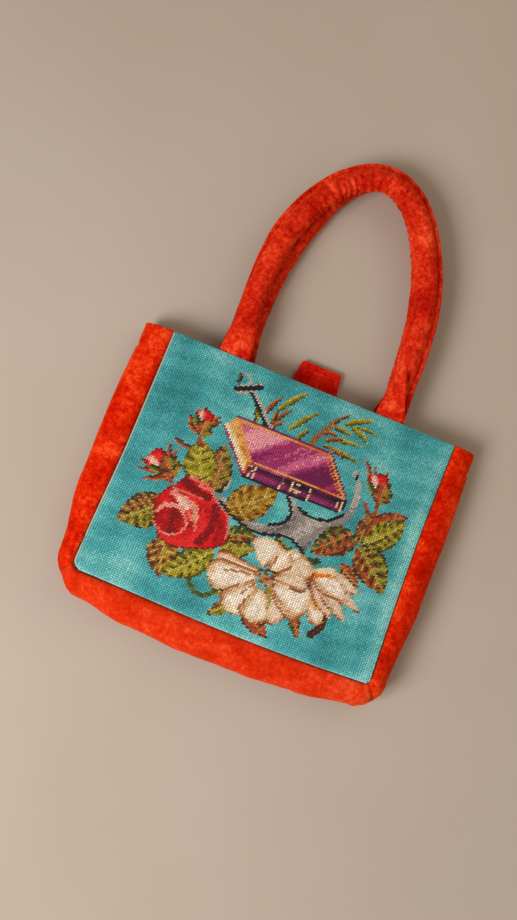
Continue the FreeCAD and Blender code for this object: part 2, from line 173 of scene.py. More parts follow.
# Materials


class Recipe:
    """A node material in the making: a Principled shader with a few nodes in front of it."""

    def __init__(self, name, colour, roughness):
        self.material = bpy.data.materials.new(name)
        self.material.use_nodes = True
        self.tree = self.material.node_tree
        self.shader = self.tree.nodes["Principled BSDF"]
        self.shader.inputs["Base Color"].default_value = (*colour, 1)
        self.shader.inputs["Roughness"].default_value = roughness
        self.place = self.node("ShaderNodeTexCoord").outputs["Object"]
        self.height = None

    def node(self, kind, **values):
        made = self.tree.nodes.new(kind)
        for key, value in values.items():
            setattr(made, key, value)
        return made

    def link(self, source, target):
        self.tree.links.new(source, target)

    def noise(self, scale, detail=3.0, rough=0.5, distortion=0.0, stretch=None):
        """Noise with features about scale metres across."""
        made = self.node("ShaderNodeTexNoise")
        made.inputs["Scale"].default_value = 1 / scale
        made.inputs["Detail"].default_value = detail
        made.inputs["Roughness"].default_value = rough
        made.inputs["Distortion"].default_value = distortion
        if stretch is None:
            self.link(self.place, made.inputs["Vector"])
        else:
            mapping = self.node("ShaderNodeMapping")
            mapping.inputs["Scale"].default_value = stretch
            self.link(self.place, mapping.inputs["Vector"])
            self.link(mapping.outputs["Vector"], made.inputs["Vector"])
        return made.outputs["Fac"]

    def wave(self, scale, direction):
        """Bands scale metres apart, for the threads of a weave."""
        made = self.node("ShaderNodeTexWave", bands_direction=direction)
        made.inputs["Scale"].default_value = 1 / (scale * 20)
        made.inputs["Distortion"].default_value = 0.6
        made.inputs["Detail Scale"].default_value = 2.0
        self.link(self.place, made.inputs["Vector"])
        return made.outputs["Fac"]

    def math(self, operation, first, second):
        made = self.node("ShaderNodeMath", operation=operation)
        for socket, value in zip(made.inputs, (first, second)):
            if isinstance(value, (int, float)):
                socket.default_value = value
            else:
                self.link(value, socket)
        return made.outputs[0]

    def ramp(self, value, stops):
        made = self.node("ShaderNodeValToRGB")
        elements = made.color_ramp.elements
        while len(elements) < len(stops):
            elements.new(0.5)
        for element, (position, colour) in zip(elements, stops):
            element.position = position
            element.color = (*colour, 1)
        self.link(value, made.inputs["Fac"])
        return made.outputs["Color"]

    def multiply(self, first, second):
        """One colour multiplied by another."""
        made = self.node("ShaderNodeMix", data_type="RGBA", blend_type="MULTIPLY")
        made.inputs["Factor"].default_value = 1.0
        self.link(first, made.inputs[6])
        self.link(second, made.inputs[7])
        return made.outputs[2]

    def bump(self, height, distance, strength=1.0):
        made = self.node("ShaderNodeBump")
        made.inputs["Strength"].default_value = strength
        made.inputs["Distance"].default_value = distance
        self.link(height, made.inputs["Height"])
        if self.height is not None:
            self.link(self.height, made.inputs["Normal"])
        self.height = made.outputs["Normal"]
        self.link(self.height, self.shader.inputs["Normal"])

    def paint(self, colour):
        self.link(colour, self.shader.inputs["Base Color"])

    def set(self, **values):
        """Plain values of the shader's own sockets, named with _ for a space."""
        for key, value in values.items():
            self.shader.inputs[key.replace("_", " ")].default_value = value


def velvet(name, shadow, deep, middle, light, shine, tint):
    """Crushed velvet: soft bright and dark patches where the pile leans, over a fine pile."""
    recipe = Recipe(name, middle, 0.6)
    patches = recipe.noise(30 * MM, 3.0, 0.55, 0.8)
    crush = recipe.noise(4.2 * MM, 3.0, 0.62, 0.6)
    pile = recipe.noise(0.7 * MM, 2.0, 0.7)
    lean = recipe.math("ADD", recipe.math("MULTIPLY", patches, 0.50),
                       recipe.math("MULTIPLY", crush, 0.50))
    fine = recipe.math("MULTIPLY", recipe.math("SUBTRACT", pile, 0.5), 0.30)
    lean = recipe.math("ADD", lean, fine)
    colour = recipe.ramp(lean, [(0.34, shadow), (0.45, deep), (0.54, middle), (0.68, light)])
    recipe.paint(colour)
    recipe.bump(crush, 1.1 * MM, 0.6)
    recipe.bump(pile, 0.25 * MM, 0.55)
    recipe.set(Sheen_Weight=shine, Sheen_Roughness=0.45, Sheen_Tint=(*tint, 1),
               Specular_IOR_Level=0.0)
    return recipe.material


def woollen(name, spread, bump_depth):
    """Dyed wool that takes its colour from the piece's points, with fine strands."""
    recipe = Recipe(name, linear(75, 165, 165), 0.85)
    dyed = recipe.node("ShaderNodeAttribute", attribute_name="Colour").outputs["Color"]
    uneven = recipe.noise(1.1 * MM, 2.0, 0.6)
    shade = recipe.ramp(uneven, [(0.3, (1 - spread,) * 3), (0.7, (1.0,) * 3)])
    recipe.paint(recipe.multiply(dyed, shade))
    recipe.bump(recipe.noise(0.45 * MM, 2.0, 0.6), bump_depth, 0.6)
    recipe.set(Sheen_Weight=0.15, Sheen_Roughness=0.5, Specular_IOR_Level=0.2)
    return recipe.material


def woven(name, dark, light, thread):
    """A plain weave: crossing threads with slight slubs."""
    recipe = Recipe(name, light, 0.85)
    warp = recipe.wave(thread, "X")
    weft = recipe.wave(thread, "Y")
    weave = recipe.math("MULTIPLY", warp, weft)
    slub = recipe.noise(9 * MM, 4.0, 0.6)
    tone = recipe.math("ADD", recipe.math("MULTIPLY", weave, 0.35),
                       recipe.math("MULTIPLY", slub, 0.65))
    recipe.paint(recipe.ramp(tone, [(0.2, dark), (0.62, light)]))
    recipe.bump(weave, 0.2 * MM, 0.6)
    recipe.set(Specular_IOR_Level=0.2)
    return recipe.material


def plated(name, colour):
    """Nickel plate with faint scratches."""
    recipe = Recipe(name, colour, 0.28)
    recipe.set(Metallic=1.0)
    scratches = recipe.noise(0.8 * MM, 3.0, 0.7, 0.0, (1, 8, 1))
    recipe.bump(scratches, 0.03 * MM, 0.4)
    worn = recipe.ramp(recipe.noise(3 * MM), [(0.35, (0.22,) * 3), (0.7, (0.42,) * 3)])
    recipe.link(worn, recipe.shader.inputs["Roughness"])
    return recipe.material


def plain_floor():
    """Pale matt floor, very slightly uneven."""
    recipe = Recipe("stage_floor", linear(164, 153, 141), 0.9)
    tone = recipe.noise(0.3)
    recipe.paint(recipe.ramp(tone, [(0.3, linear(161, 149, 137)), (0.7, linear(167, 156, 145))]))
    return recipe.material


ORANGE_SHINE = (1.0, 0.14, 0.02)
VELVET = velvet("velvet", linear(148, 14, 6), linear(180, 27, 9), linear(202, 44, 17),
                linear(228, 84, 42), 0.7, ORANGE_SHINE)
# A lighter, flatter copy of the velvet for the base strip and the back panel. Its lighter tones are
# painted light, for the lamp falling on the base; its weaker mottling is the cloth's own look.
VELVET_PAINTED_LIGHTER = velvet("velvet_painted_lighter", linear(172, 34, 14), linear(188, 42, 18), linear(200, 52, 24),
                     linear(220, 82, 48), 0.6, (1.0, 0.20, 0.06))
VELVET_HANDLE = velvet("velvet_handle", linear(140, 16, 13), linear(176, 31, 19), linear(198, 49, 28),
                       linear(232, 92, 56), 0.6, ORANGE_SHINE)
# A darker, less shiny copy of the velvet for the tab: painted shade, for the shade under the panel's
# edge where the tab lies.
VELVET_TAB_PAINTED_SHADE = velvet("velvet_tab", linear(150, 16, 10), linear(174, 24, 14), linear(196, 32, 20),
                    linear(218, 58, 36), 0.4, (1.0, 0.1, 0.02))
WOOL_STITCH = woollen("needlepoint_wool", 0.22, 0.25 * MM)
WOOL_GROUND = woollen("needlepoint_ground", 0.4, 0.3 * MM)
LINING = woven("lining_cotton", linear(150, 126, 92), linear(190, 168, 132), 0.5 * MM)
CANVAS = woven("canvas", linear(190, 178, 150), linear(232, 224, 202), 1.0 * MM)
FILLER = woven("cord_filler", linear(200, 192, 176), linear(232, 228, 216), 1.5 * MM)
THREAD = woven("sewing_thread", linear(120, 8, 6), linear(178, 26, 12), 0.3 * MM)
NICKEL = plated("nickel", (0.72, 0.70, 0.67))


# The bag's shape


def seam_height(y):
    """Height of the front seam, deeper at the base than at the mouth."""
    along = (y + HALF_HEIGHT) / (2 * HALF_HEIGHT)
    return BASE_DEPTH + (MOUTH_DEPTH - BASE_DEPTH) * along


def side_edges(y):
    """Where the panel's left and right edges are at y, with its rounded base corners."""
    edges = []
    for side, radius in ((-1, LEFT_CORNER), (1, RIGHT_CORNER)):
        below = np.clip(-HALF_HEIGHT + radius - y, 0, radius)
        edges.append(side * (HALF_WIDTH - radius + np.sqrt(radius ** 2 - below ** 2)))
    return edges


def edge_distance(x, y):
    """How far a point of the front is from the seam at its sides and base."""
    left, right = side_edges(np.maximum(y, -HALF_HEIGHT))
    return np.maximum(np.minimum(np.minimum(x - left, right - x), y + HALF_HEIGHT), 0)


def settled(points, share=1.0):
    """Points of the front as the filled bag pulls it: the base bows out, the left edge flares
    towards the base and the right edge bows in a little."""
    x, y = points[..., 0], points[..., 1]
    u = np.clip((x + HALF_WIDTH) / (2 * HALF_WIDTH), 0, 1)
    v = np.clip((HALF_HEIGHT - y) / (2 * HALF_HEIGHT), 0, 1)
    low = np.clip(-y / HALF_HEIGHT, 0, 1) ** 2
    flare = -3.0 * MM * (1 - u) ** 3 * smooth_step(v, 0.45, 0.95)
    bow_in = -2.3 * MM * u ** 3 * np.sin(math.pi * v)
    bow_out = -3.8 * MM * np.sin(math.pi * u ** 1.3) * low
    moved = np.array(points)
    moved[..., 0] += share * (flare + bow_in)
    moved[..., 1] += share * bow_out
    return moved


def front_height(x, y):
    """Height of the needlepoint's face, with soft hollows and a dip into the seam."""
    across = 1 - (x / HALF_WIDTH) ** 2
    along = 1 - (y / HALF_HEIGHT) ** 2
    crown = CROWN * np.clip(across, 0, 1) * np.clip(along, 0, 1)
    ripples = 0.5 * MM * (np.sin(x / 0.031 + 1.3 * np.sin(y / 0.052)) * np.sin(y / 0.043 + 0.8))
    seam_dip = 1.7 * MM * np.exp(-edge_distance(x, y) / (1.8 * MM))
    return seam_height(y) + crown + ripples * np.clip(along * across * 3, 0.3, 1) - seam_dip


def front_point(x, w, h):
    """A point of the needlepoint cloth, w along it and h above its face. At the mouth the
    cloth turns down over the rim."""
    turn_from = HALF_HEIGHT - RIM_RADIUS
    angle = np.clip((w - turn_from) / RIM_RADIUS, 0, math.pi / 2)
    past = np.maximum(w - turn_from - RIM_RADIUS * math.pi / 2, 0)
    over = np.where(w > turn_from, turn_from, w)
    y = over + RIM_RADIUS * np.sin(angle) + h * np.sin(angle)
    drop = RIM_RADIUS * (1 - np.cos(angle)) + past
    z = front_height(x, over) - drop + h * np.cos(angle)
    return settled(np.stack([x, y, z], axis=-1))


# The worked picture. Each stitch takes the colour of the drawing at its middle. The drawing is
# a plain bouquet with a closed book and an anchor, in millimetres on the panel.

TEAL_DARK = (48, 131, 139)
TEAL = (77, 172, 177)
TEAL_LIGHT = (140, 210, 208)
LEAF_GOLD = [(98, 54, 16), (148, 96, 24), (174, 138, 36), (196, 166, 78)]
LEAF_OLIVE = [(62, 54, 24), (106, 96, 26), (148, 136, 36), (176, 164, 70)]
LEAF_LIME = [(84, 76, 22), (130, 122, 20), (166, 152, 30), (190, 180, 76)]
LEAF_BROWN = [(70, 36, 22), (116, 66, 36), (158, 98, 50), (184, 130, 74)]
LEAF_RUST = [(72, 36, 20), (128, 62, 30), (176, 78, 40), (196, 122, 66)]
LEAF_GREEN = [(40, 46, 26), (64, 80, 38), (104, 112, 42), (150, 150, 64)]
CREAM = [(158, 98, 58), (196, 146, 102), (218, 182, 142), (230, 206, 172), (238, 226, 210)]
CREAM_SHADE = [(140, 76, 42), (178, 118, 76), (204, 156, 114), (220, 184, 148), (230, 208, 182)]
ROSE_RED = [(126, 8, 12), (172, 10, 14), (212, 14, 20), (226, 44, 42)]
ROSE_PINK = [(206, 66, 58), (222, 116, 98), (232, 156, 134), (236, 196, 178)]
GREYS = [(34, 30, 34), (104, 98, 94), (148, 140, 134), (184, 176, 170)]
BOOK = [(116, 26, 80), (164, 50, 106), (204, 100, 142), (228, 156, 164)]
SPINE = [(44, 14, 40), (78, 24, 62), (120, 32, 84), (150, 52, 104)]
PAGES = [(196, 120, 40), (220, 172, 96), (226, 196, 142), (234, 218, 182)]
GOLD = (226, 158, 84)
ORANGE = (226, 118, 28)


class Picture:
    """The colours of the stitches, painted shape by shape from the back to the front."""

    def __init__(self, x, y, random):
        self.x = x / MM
        self.y = y / MM
        self.grain = random.random(x.shape)
        self.colour = np.zeros((*x.shape, 3))

    def paint(self, where, tones, level):
        """Colours the stitches where is true. level from 0 to 1 picks among the tones, with
        stitches of neighbouring tones mixed as a worker blends them."""
        tones = np.array([tones] if isinstance(tones, tuple) else tones, float)
        step = np.clip(level * len(tones) - 0.5 + 0.7 * (self.grain - 0.5), 0, len(tones) - 1)
        picked = tones[np.rint(step).astype(int)]
        self.colour[where] = picked[where]

    def along(self, start, end, bend=0.0):
        """Each stitch's place along the line, from 0 to 1, and to its left, in millimetres.
        The line may bow out to its left by bend."""
        dx, dy = end[0] - start[0], end[1] - start[1]
        length = math.hypot(dx, dy)
        px, py = self.x - start[0], self.y - start[1]
        t = (px * dx + py * dy) / length ** 2
        side = (py * dx - px * dy) / length
        return t, side - bend * 4 * t * (1 - t)

    def leaf(self, start, end, width, tones, other=None, veins=6, bend=0.0):
        """A pointed leaf with a midrib and veins. Its right half may have other tones."""
        t, side = self.along(start, end, bend)
        shape = np.sin(math.pi * np.clip(t, 0, 1) ** 0.8) ** 0.75
        half = width / 2 * shape + 0.01
        inside = (t > 0) & (t < 1) & (np.abs(side) < half)
        across = np.abs(side) / half
        ribs = np.sin(2 * math.pi * (t * veins - 0.8 * across) + 2 * np.sin(5 * t + start[0]))
        patch = np.sin(self.x / 2.6 + start[1]) * np.sin(self.y / 2.2 + start[0])
        level = 0.58 - 0.16 * across + 0.20 * patch
        first = side / half + 0.45 * patch > 0
        self.paint(inside & first, tones, level)
        self.paint(inside & ~first, other or tones, level + 0.04)
        self.paint(inside & (ribs > 0.80), tones, level + 0.34)
        self.paint(inside & (ribs < -0.90), other or tones, level - 0.34)
        self.paint(inside & (np.abs(side) < 0.9) & (t < 0.9), tones, 0.98)
        self.paint(inside & (across > 0.86) & (patch < 0.1), tones, 0.14)

    def blade(self, start, end, width, tones, bend=0.0):
        """A narrow grass blade or twig."""
        t, side = self.along(start, end, bend)
        half = width / 2 * np.sin(math.pi * np.clip(0.12 + 0.82 * t, 0, 1)) + 0.35
        inside = (t > -0.02) & (t < 1.02) & (np.abs(side) < half)
        self.paint(inside, tones, 0.5 + 0.45 * side / half)

    def petal(self, start, end, width, tones, bend=0.0, tip=0.75, pointed=False):
        """A petal that is narrow at its start and widest near its tip, pale along its middle."""
        t, side = self.along(start, end, bend)
        c = np.clip(t, 0, 1)
        rounded = np.sqrt(np.clip(1 - ((c - tip) / (1 - tip)) ** 2, 0, 1))
        shape = (c / tip) ** 0.7 * np.where(c < tip, 1, rounded)
        if pointed:
            shape = np.sin(math.pi * c ** 0.9) ** 0.9
        half = width / 2 * shape + 0.01
        inside = (t > 0) & (t < 1) & (np.abs(side) < half)
        across = side / half
        streak = 0.13 * np.sin(across * 7.0 + 2.5 * c + start[0])
        level = 1.02 - 0.66 * np.abs(across - 0.15) ** 1.6 + streak
        level = level - 0.45 * np.clip(1 - c / 0.35, 0, 1) - 0.45 * np.clip((c - 0.80) / 0.20, 0, 1)
        self.paint(inside, tones, level)
        self.paint(inside & (across < -0.86), tones, 0.12)

    def ellipse(self, centre, across, up, angle=0.0):
        """Distance from the centre, 1 on the ellipse, and the direction of each stitch."""
        a = math.radians(angle)
        px, py = self.x - centre[0], self.y - centre[1]
        u = (px * math.cos(a) + py * math.sin(a)) / across
        v = (py * math.cos(a) - px * math.sin(a)) / up
        return np.hypot(u, v), np.arctan2(v, u)

    def polygon(self, corners):
        """Which stitches are inside the corners, joined by straight lines."""
        inside = np.zeros(self.x.shape, bool)
        for (x0, y0), (x1, y1) in zip(corners, corners[1:] + corners[:1]):
            crosses = (y0 > self.y) != (y1 > self.y)
            slope = (x1 - x0) / (y1 - y0 if y1 != y0 else 1e-9)
            inside ^= crosses & (self.x < x0 + slope * (self.y - y0))
        return inside

    def distance(self, line):
        """How far each stitch is from a run of straight lines."""
        best = np.full(self.x.shape, 1e9)
        for start, end in zip(line, line[1:]):
            c = np.clip(self.along(start, end)[0], 0, 1)
            away = np.hypot(self.x - start[0] - c * (end[0] - start[0]),
                            self.y - start[1] - c * (end[1] - start[1]))
            best = np.minimum(best, away)
        return best

    def stroke(self, line, width, tones, level=0.5):
        """A line of even width in one tone."""
        self.paint(self.distance(line) < width / 2, tones, level)


def curve_through(points, count=24):
    """Points of a smooth curve through the given ones."""
    p = np.array([points[0], *points, points[-1]], float)
    out = []
    for a, b, c, d in zip(p, p[1:], p[2:], p[3:]):
        for t in np.linspace(0, 1, count, endpoint=False):
            out.append(0.5 * ((2 * b) + (c - a) * t + (2 * a - 5 * b + 4 * c - d) * t ** 2
                              + (3 * b - a - 3 * c + d) * t ** 3))
    out.append(p[-1])
    return [tuple(q) for q in out]


def draw_ground(picture):
    """Teal wool, uneven from skein to skein and lighter at the right edge, with painted light towards
    the base and lower left, where the lamp falls.
    """
    x, y = picture.x, picture.y
    cloud = 0.5 + 0.24 * np.sin(x / 23 + np.sin(y / 31)) * np.sin(y / 19 + 1.1)
    cloud += 0.10 * np.sin(x / 7.1 + y / 41) + 0.07 * np.sin(y / 2.9 + np.sin(x / 13))
    # The term in y is painted light: lighter towards the base, where the lamp falls.
    cloud += 0.34 * np.clip((x - 132) / 10, 0, 1) + 0.06 * np.clip((-y - 70) / 40, 0, 1)
    cloud -= 0.22 * np.exp(-((x + 133) / 7) ** 2) * np.clip((y + 10) / 60, 0, 1)
    cloud -= 0.24 * np.exp(-((x + 122) / 20) ** 2 - ((y - 5) / 45) ** 2)
    cloud += 0.12 * (picture.grain - 0.5)
    share = np.clip(cloud, 0, 1)[..., None]
    dark, middle, light = (np.array(c, float) for c in (TEAL_DARK, TEAL, TEAL_LIGHT))
    lower = dark + (middle - dark) * np.clip(share * 2, 0, 1)
    picture.colour = lower + (light - middle) * np.clip(share * 2 - 1, 0, 1)


def draw_sprigs(picture):
    """Grass blades behind the book."""
    picture.stroke(curve_through([(15, 67), (18, 78), (24, 88), (29, 98)]), 5.4, LEAF_BROWN, 0.55)
    for start, end, width, tones in (
        ((-27, 88), (-5, 116), 5.5, LEAF_LIME), ((-37, 80), (-28, 101), 4.2, LEAF_RUST),
        ((-28, 72), (-14, 94), 4.2, LEAF_BROWN), ((-47, 82), (-42, 66), 5.0, LEAF_OLIVE),
        ((-10, 74), (12, 102), 5.4, LEAF_LIME), ((-26, 68), (-17, 80), 3.6, LEAF_BROWN),
        ((0, 66), (9, 82), 4.4, LEAF_OLIVE), ((-28, 68), (-25, 92), 3.0, LEAF_BROWN),
        ((40, 101), (66, 115), 5.4, LEAF_LIME), ((50, 102), (75, 102), 3.6, LEAF_OLIVE),
        ((46, 101), (67, 92), 5.4, LEAF_LIME), ((28, 94), (50, 92), 4.4, LEAF_OLIVE),
        ((28, 80), (62, 86), 4.2, LEAF_LIME), ((28, 73), (66, 69), 4.6, LEAF_OLIVE),
        ((28, 78), (44, 86), 3.6, LEAF_RUST), ((28, 96), (42, 112), 3.6, LEAF_BROWN),
        ((22, 84), (36, 87), 3.4, LEAF_RUST), ((34, 72), (50, 68), 3.4, LEAF_BROWN),
    ):
        picture.blade(start, end, width, tones, bend=1.2)


def draw_anchor(picture):
    """A plain anchor: ring, stock, shank and a curved pair of arms."""
    ring, _ = picture.ellipse((-68, 104.5), 6.4, 6.2)
    picture.paint(np.abs(ring - 1) < 0.22, GREYS, 0.9 + (picture.x + 68) / 9)
    picture.stroke([(-72, 102), (-71, 106)], 2.6, GREYS, 0.05)
    shank = [(-60, 98), (-46, 84), (-29, 66)]
    picture.stroke([(x + 2.6, y + 1.6) for x, y in shank], 4.2, GREYS, 0.9)
    picture.stroke(shank, 3.6, GREYS, 0.05)
    picture.stroke([(-71, 91), (-64, 93), (-52, 106)], 4.6, GREYS, 0.8)
    picture.stroke([(-73, 93), (-50, 103.5)], 5.0, GREYS, 0.05)
    body = curve_through([(12, 16), (20, 12), (30, 6), (48, 4), (62, 9), (71, 18), (73, 34),
                          (70, 50), (76, 50), (79, 34), (77, 16), (66, 0), (52, -14), (46, -31),
                          (30, -25), (10, -28), (-10, -29), (-30, -24), (-46, -15), (-49, -6),
                          (-42, -11), (-28, -19), (-10, -21), (6, -19), (17, -12), (21, -3),
                          (18, 6)], 10)
    level = 0.66 + 0.16 * np.sin(picture.x / 6 - picture.y / 9) + 0.004 * (picture.y + 10)
    picture.paint(picture.polygon(body), GREYS, level)
    for line, width in (
        ([(11, 15), (18, 6), (21, -3), (17, -12), (6, -18)], 3.0),
        ([(26, 7), (34, 4), (50, 4), (62, 9), (70, 18)], 2.8),
        ([(-46, -15), (-34, -22), (-20, -27), (-4, -30), (10, -27), (25, -23), (36, -26),
          (46, -31)], 2.8),
    ):
        picture.stroke(curve_through(line), width, GREYS, 0.05)
    picture.stroke([(-55, 8), (-54, -4)], 4.0, GREYS, 0.7)
    picture.stroke([(-52, 9), (-48, 2), (-51, -6)], 5.6, GREYS, 0.05)
    picture.stroke([(-44, 8), (-46, -4)], 2.4, GREYS, 0.8)
    picture.stroke([(66, 60), (74, 50)], 4.6, GREYS, 0.85)
    picture.stroke([(69, 57), (69, 55)], 3.2, GREYS, 0.05)


def draw_book(picture):
    """A closed book seen from above, its cover blank."""
    x, y = picture.x, picture.y
    page_tone = 0.86 - 0.030 * ((x + 71) + 0.84 * (y - 55)) + 0.16 * np.sin((x + y) / 2.6)
    picture.paint(picture.polygon([(-62, 66), (-30, 29), (-34, 15), (-70, 55)]), PAGES, page_tone)
    picture.stroke([(-56, 61), (-36, 34), (-34, 20)], 3.6, ORANGE)
    picture.paint(picture.polygon([(-32, 30), (67, 31), (67, 22), (62, 17), (-36, 15)]), SPINE,
                  0.50 + 0.30 * np.sin((y - 17) / 2.1) - 0.10 * np.sin(x / 9))
    sheen = 0.80 - 0.0050 * (x + 60) + 0.010 * (y - 50) + 0.20 * np.sin((0.85 * x - y) / 7.5)
    sheen += 0.10 * np.sin((0.85 * x - y) / 3.1)
    picture.paint(picture.polygon([(-62, 66.5), (37, 68.5), (67, 30), (-31, 29)]), BOOK, sheen)
    for line, width, tone in (
        ([(-60, 65), (36, 66)], 2.4, GOLD), ([(2, 65.5), (36, 66.5)], 1.4, ORANGE),
        ([(37, 66), (64, 32)], 2.6, GOLD), ([(34, 63), (59, 33)], 1.4, ORANGE),
        ([(-58, 64), (-33, 31)], 3.0, GOLD), ([(-30, 30.6), (65, 31.6)], 2.0, GOLD),
        ([(38, 31.4), (56, 31.4)], 2.2, ORANGE),
        ([(-70, 55), (-35, 15)], 2.2, SPINE[3]), ([(-62, 67.4), (37, 69), (68, 31)], 1.7, SPINE[2]),
        ([(-35, 15), (62, 17), (68, 22), (68, 30)], 2.2, SPINE[0]),
    ):
        picture.stroke(line, width, tone)
    for place in (-30, -26, 2, 12, 31, 59, 64):
        picture.stroke([(place, 28), (place + 1, 23), (place - 0.5, 18)], 1.7, PAGES, 0.7)
    for place, height in ((14, 22), (18, 27), (18, 19), (22, 22), (18, 22)):
        picture.stroke([(place, height), (place + 0.5, height)], 2.8, PAGES, 0.75)


def draw_leaves(picture):
    """The leaves round the flowers, then their stems and tendrils."""
    for start, end, width, tones, other, bend in (
        ((-96, -34), (-130, -66), 34, LEAF_OLIVE, LEAF_BROWN, 2),
        ((-82, -64), (-72, -101), 30, LEAF_GOLD, LEAF_BROWN, 0),
        ((-34, -60), (-72, -97), 27, LEAF_LIME, LEAF_OLIVE, 2),
        ((-56, -8), (-62, 37), 26, LEAF_BROWN, LEAF_OLIVE, 0),
        ((-68, -5), (-84, 34), 33, LEAF_LIME, LEAF_LIME, 3),
        ((-38, -18), (2, 13), 35, LEAF_GOLD, LEAF_GOLD, -2),
        ((-30, -56), (2, -44), 18, LEAF_OLIVE, LEAF_LIME, 0),
        ((-30, -42), (0, -34), 17, LEAF_GREEN, LEAF_RUST, 1),
        ((92, -2), (100, 33), 19, LEAF_BROWN, LEAF_OLIVE, 0),
        ((98, 12), (131, 39), 18, LEAF_RUST, LEAF_BROWN, 2),
        ((97, -3), (132, 33), 28, LEAF_LIME, LEAF_OLIVE, -2),
        ((66, -20), (94, 2), 20, LEAF_GREEN, LEAF_RUST, 0),
        ((84, 4), (52, -28), 27, LEAF_RUST, LEAF_GREEN, 0),
        ((94, -6), (134, -39), 33, LEAF_OLIVE, LEAF_RUST, 2),
        ((84, -28), (108, -42), 14, LEAF_RUST, LEAF_GREEN, 0),
        ((0, -98), (-18, -115), 13, LEAF_OLIVE, LEAF_BROWN, 0),
        ((10, -98), (43, -116), 17, LEAF_RUST, LEAF_RUST, 0),
        ((54, -82), (70, -106), 11, LEAF_RUST, LEAF_GREEN, 0),
        ((-24, -80), (-12, -96), 14, LEAF_LIME, LEAF_OLIVE, 0),
    ):
        picture.leaf(start, end, width, tones, other, bend=bend)
    picture.blade((-90, 22), (-109, 25), 5, LEAF_BROWN, 1)
    picture.stroke(curve_through([(-46, -93), (-38, -100), (-28, -102), (-18, -94)]), 4.6,
                   LEAF_GREEN, 0.5)
    picture.stroke(curve_through([(18, -29), (32, -34), (48, -37), (62, -34)]), 6.2, LEAF_GREEN, 0.3)
    picture.stroke(curve_through([(20, -27), (34, -33), (50, -34)]), 2.0, LEAF_GREEN, 0.9)
    for stem in ([(-90, 42), (-87, 34), (-82, 28)], [(-106, -12), (-96, -15)],
                 [(98, 42), (99, 30), (98, 8)], [(86, 35), (92, 27)], [(0, -34), (10, -38)]):
        picture.stroke(stem, 4.0, LEAF_RUST, 0.5)


def draw_bud(picture, base, tip, width, sepals):
    """A half-open rosebud: sepal tips behind it, its petals, and the cup at its base."""
    length = math.hypot(tip[0] - base[0], tip[1] - base[1])
    dx, dy = (tip[0] - base[0]) / length, (tip[1] - base[1]) / length
    for end in sepals:
        picture.blade(base, end, 5.0, LEAF_RUST, 1.5)
    picture.petal(base, tip, width * 0.9, ROSE_RED, 0, 0.6)
    middle = (base[0] + dx * 3 - dy * 2, base[1] + dy * 3 + dx * 2)
    picture.petal(middle, (tip[0] - dy * 3, tip[1] + dx * 3), width * 0.30, ROSE_PINK, 0, 0.7)
    picture.blade(base, (base[0] + dx * length * 0.8 - dy * width * 0.42,
                         base[1] + dy * length * 0.8 + dx * width * 0.42), 6.0, LEAF_GREEN, 1.0)
    picture.leaf((base[0] - dx * 4, base[1] - dy * 4),
                 (base[0] + dx * length * 0.62 + dy * width * 0.3,
                  base[1] + dy * length * 0.62 - dx * width * 0.3), width * 0.9,
                 LEAF_RUST, LEAF_OLIVE, 2)


def draw_rose(picture):
    """An open rose: overlapping petals round a dark heart."""
    outline = curve_through([(-105, -38), (-99, -24), (-91, -14), (-84, -4), (-70, -3), (-56, -7),
                             (-47, -17), (-34, -24), (-29, -36), (-26, -48), (-36, -59),
                             (-54, -66), (-70, -71), (-87, -67), (-97, -54), (-105, -38)], 10)
    inside = picture.polygon(outline)
    outer, angle = picture.ellipse((-66, -37), 40, 34, -12)
    picture.paint(inside, ROSE_RED, 0.66 + 0.20 * np.sin(2.6 * angle + 6 * outer))
    picture.paint(inside & (picture.distance(outline) < 1.2), ROSE_RED, 0.12)
    for line, width, tones, level in (
        ([(-86, -9), (-72, -14), (-58, -16)], 8, ROSE_RED, 0.2),
        ([(-48, -22), (-44, -38), (-50, -58)], 8, ROSE_RED, 0.22),
        ([(-38, -32), (-36, -48)], 5, ROSE_RED, 0.3),
        ([(-84, -3), (-72, -5), (-66, -9), (-54, -9)], 3.4, ROSE_PINK, 0.45),
        ([(-92, -20), (-78, -19), (-62, -20)], 2.0, ROSE_PINK, 0.3),
        ([(-70, -4), (-58, -8), (-49, -16), (-36, -24), (-30, -34), (-28, -46)], 2.8,
         ROSE_PINK, 0.4),
        ([(-90, -24), (-78, -26), (-66, -30), (-62, -40)], 6.5, ROSE_PINK, 0.55),
        ([(-82, -28), (-73, -31)], 6.0, ROSE_PINK, 0.95),
        ([(-97, -46), (-94, -38), (-84, -35), (-74, -36)], 4.4, ROSE_PINK, 0.62),
        ([(-70, -36), (-60, -44), (-58, -50)], 2.6, ROSE_PINK, 0.4),
        ([(-58, -28), (-54, -44), (-58, -58)], 3.0, ROSE_RED, 0.95),
    ):
        where = inside & (picture.distance(curve_through(line, 10)) < width / 2)
        picture.paint(where, tones, level)
    heart, turn = picture.ellipse((-83, -49), 16, 13.5, 0)
    picture.paint((heart < 1.05) & (turn > -2.6) & (turn < 0.9), ROSE_PINK, 0.5)
    picture.paint(heart < 0.88, ROSE_RED, 0.34 + 0.14 * np.sin(picture.x / 3))


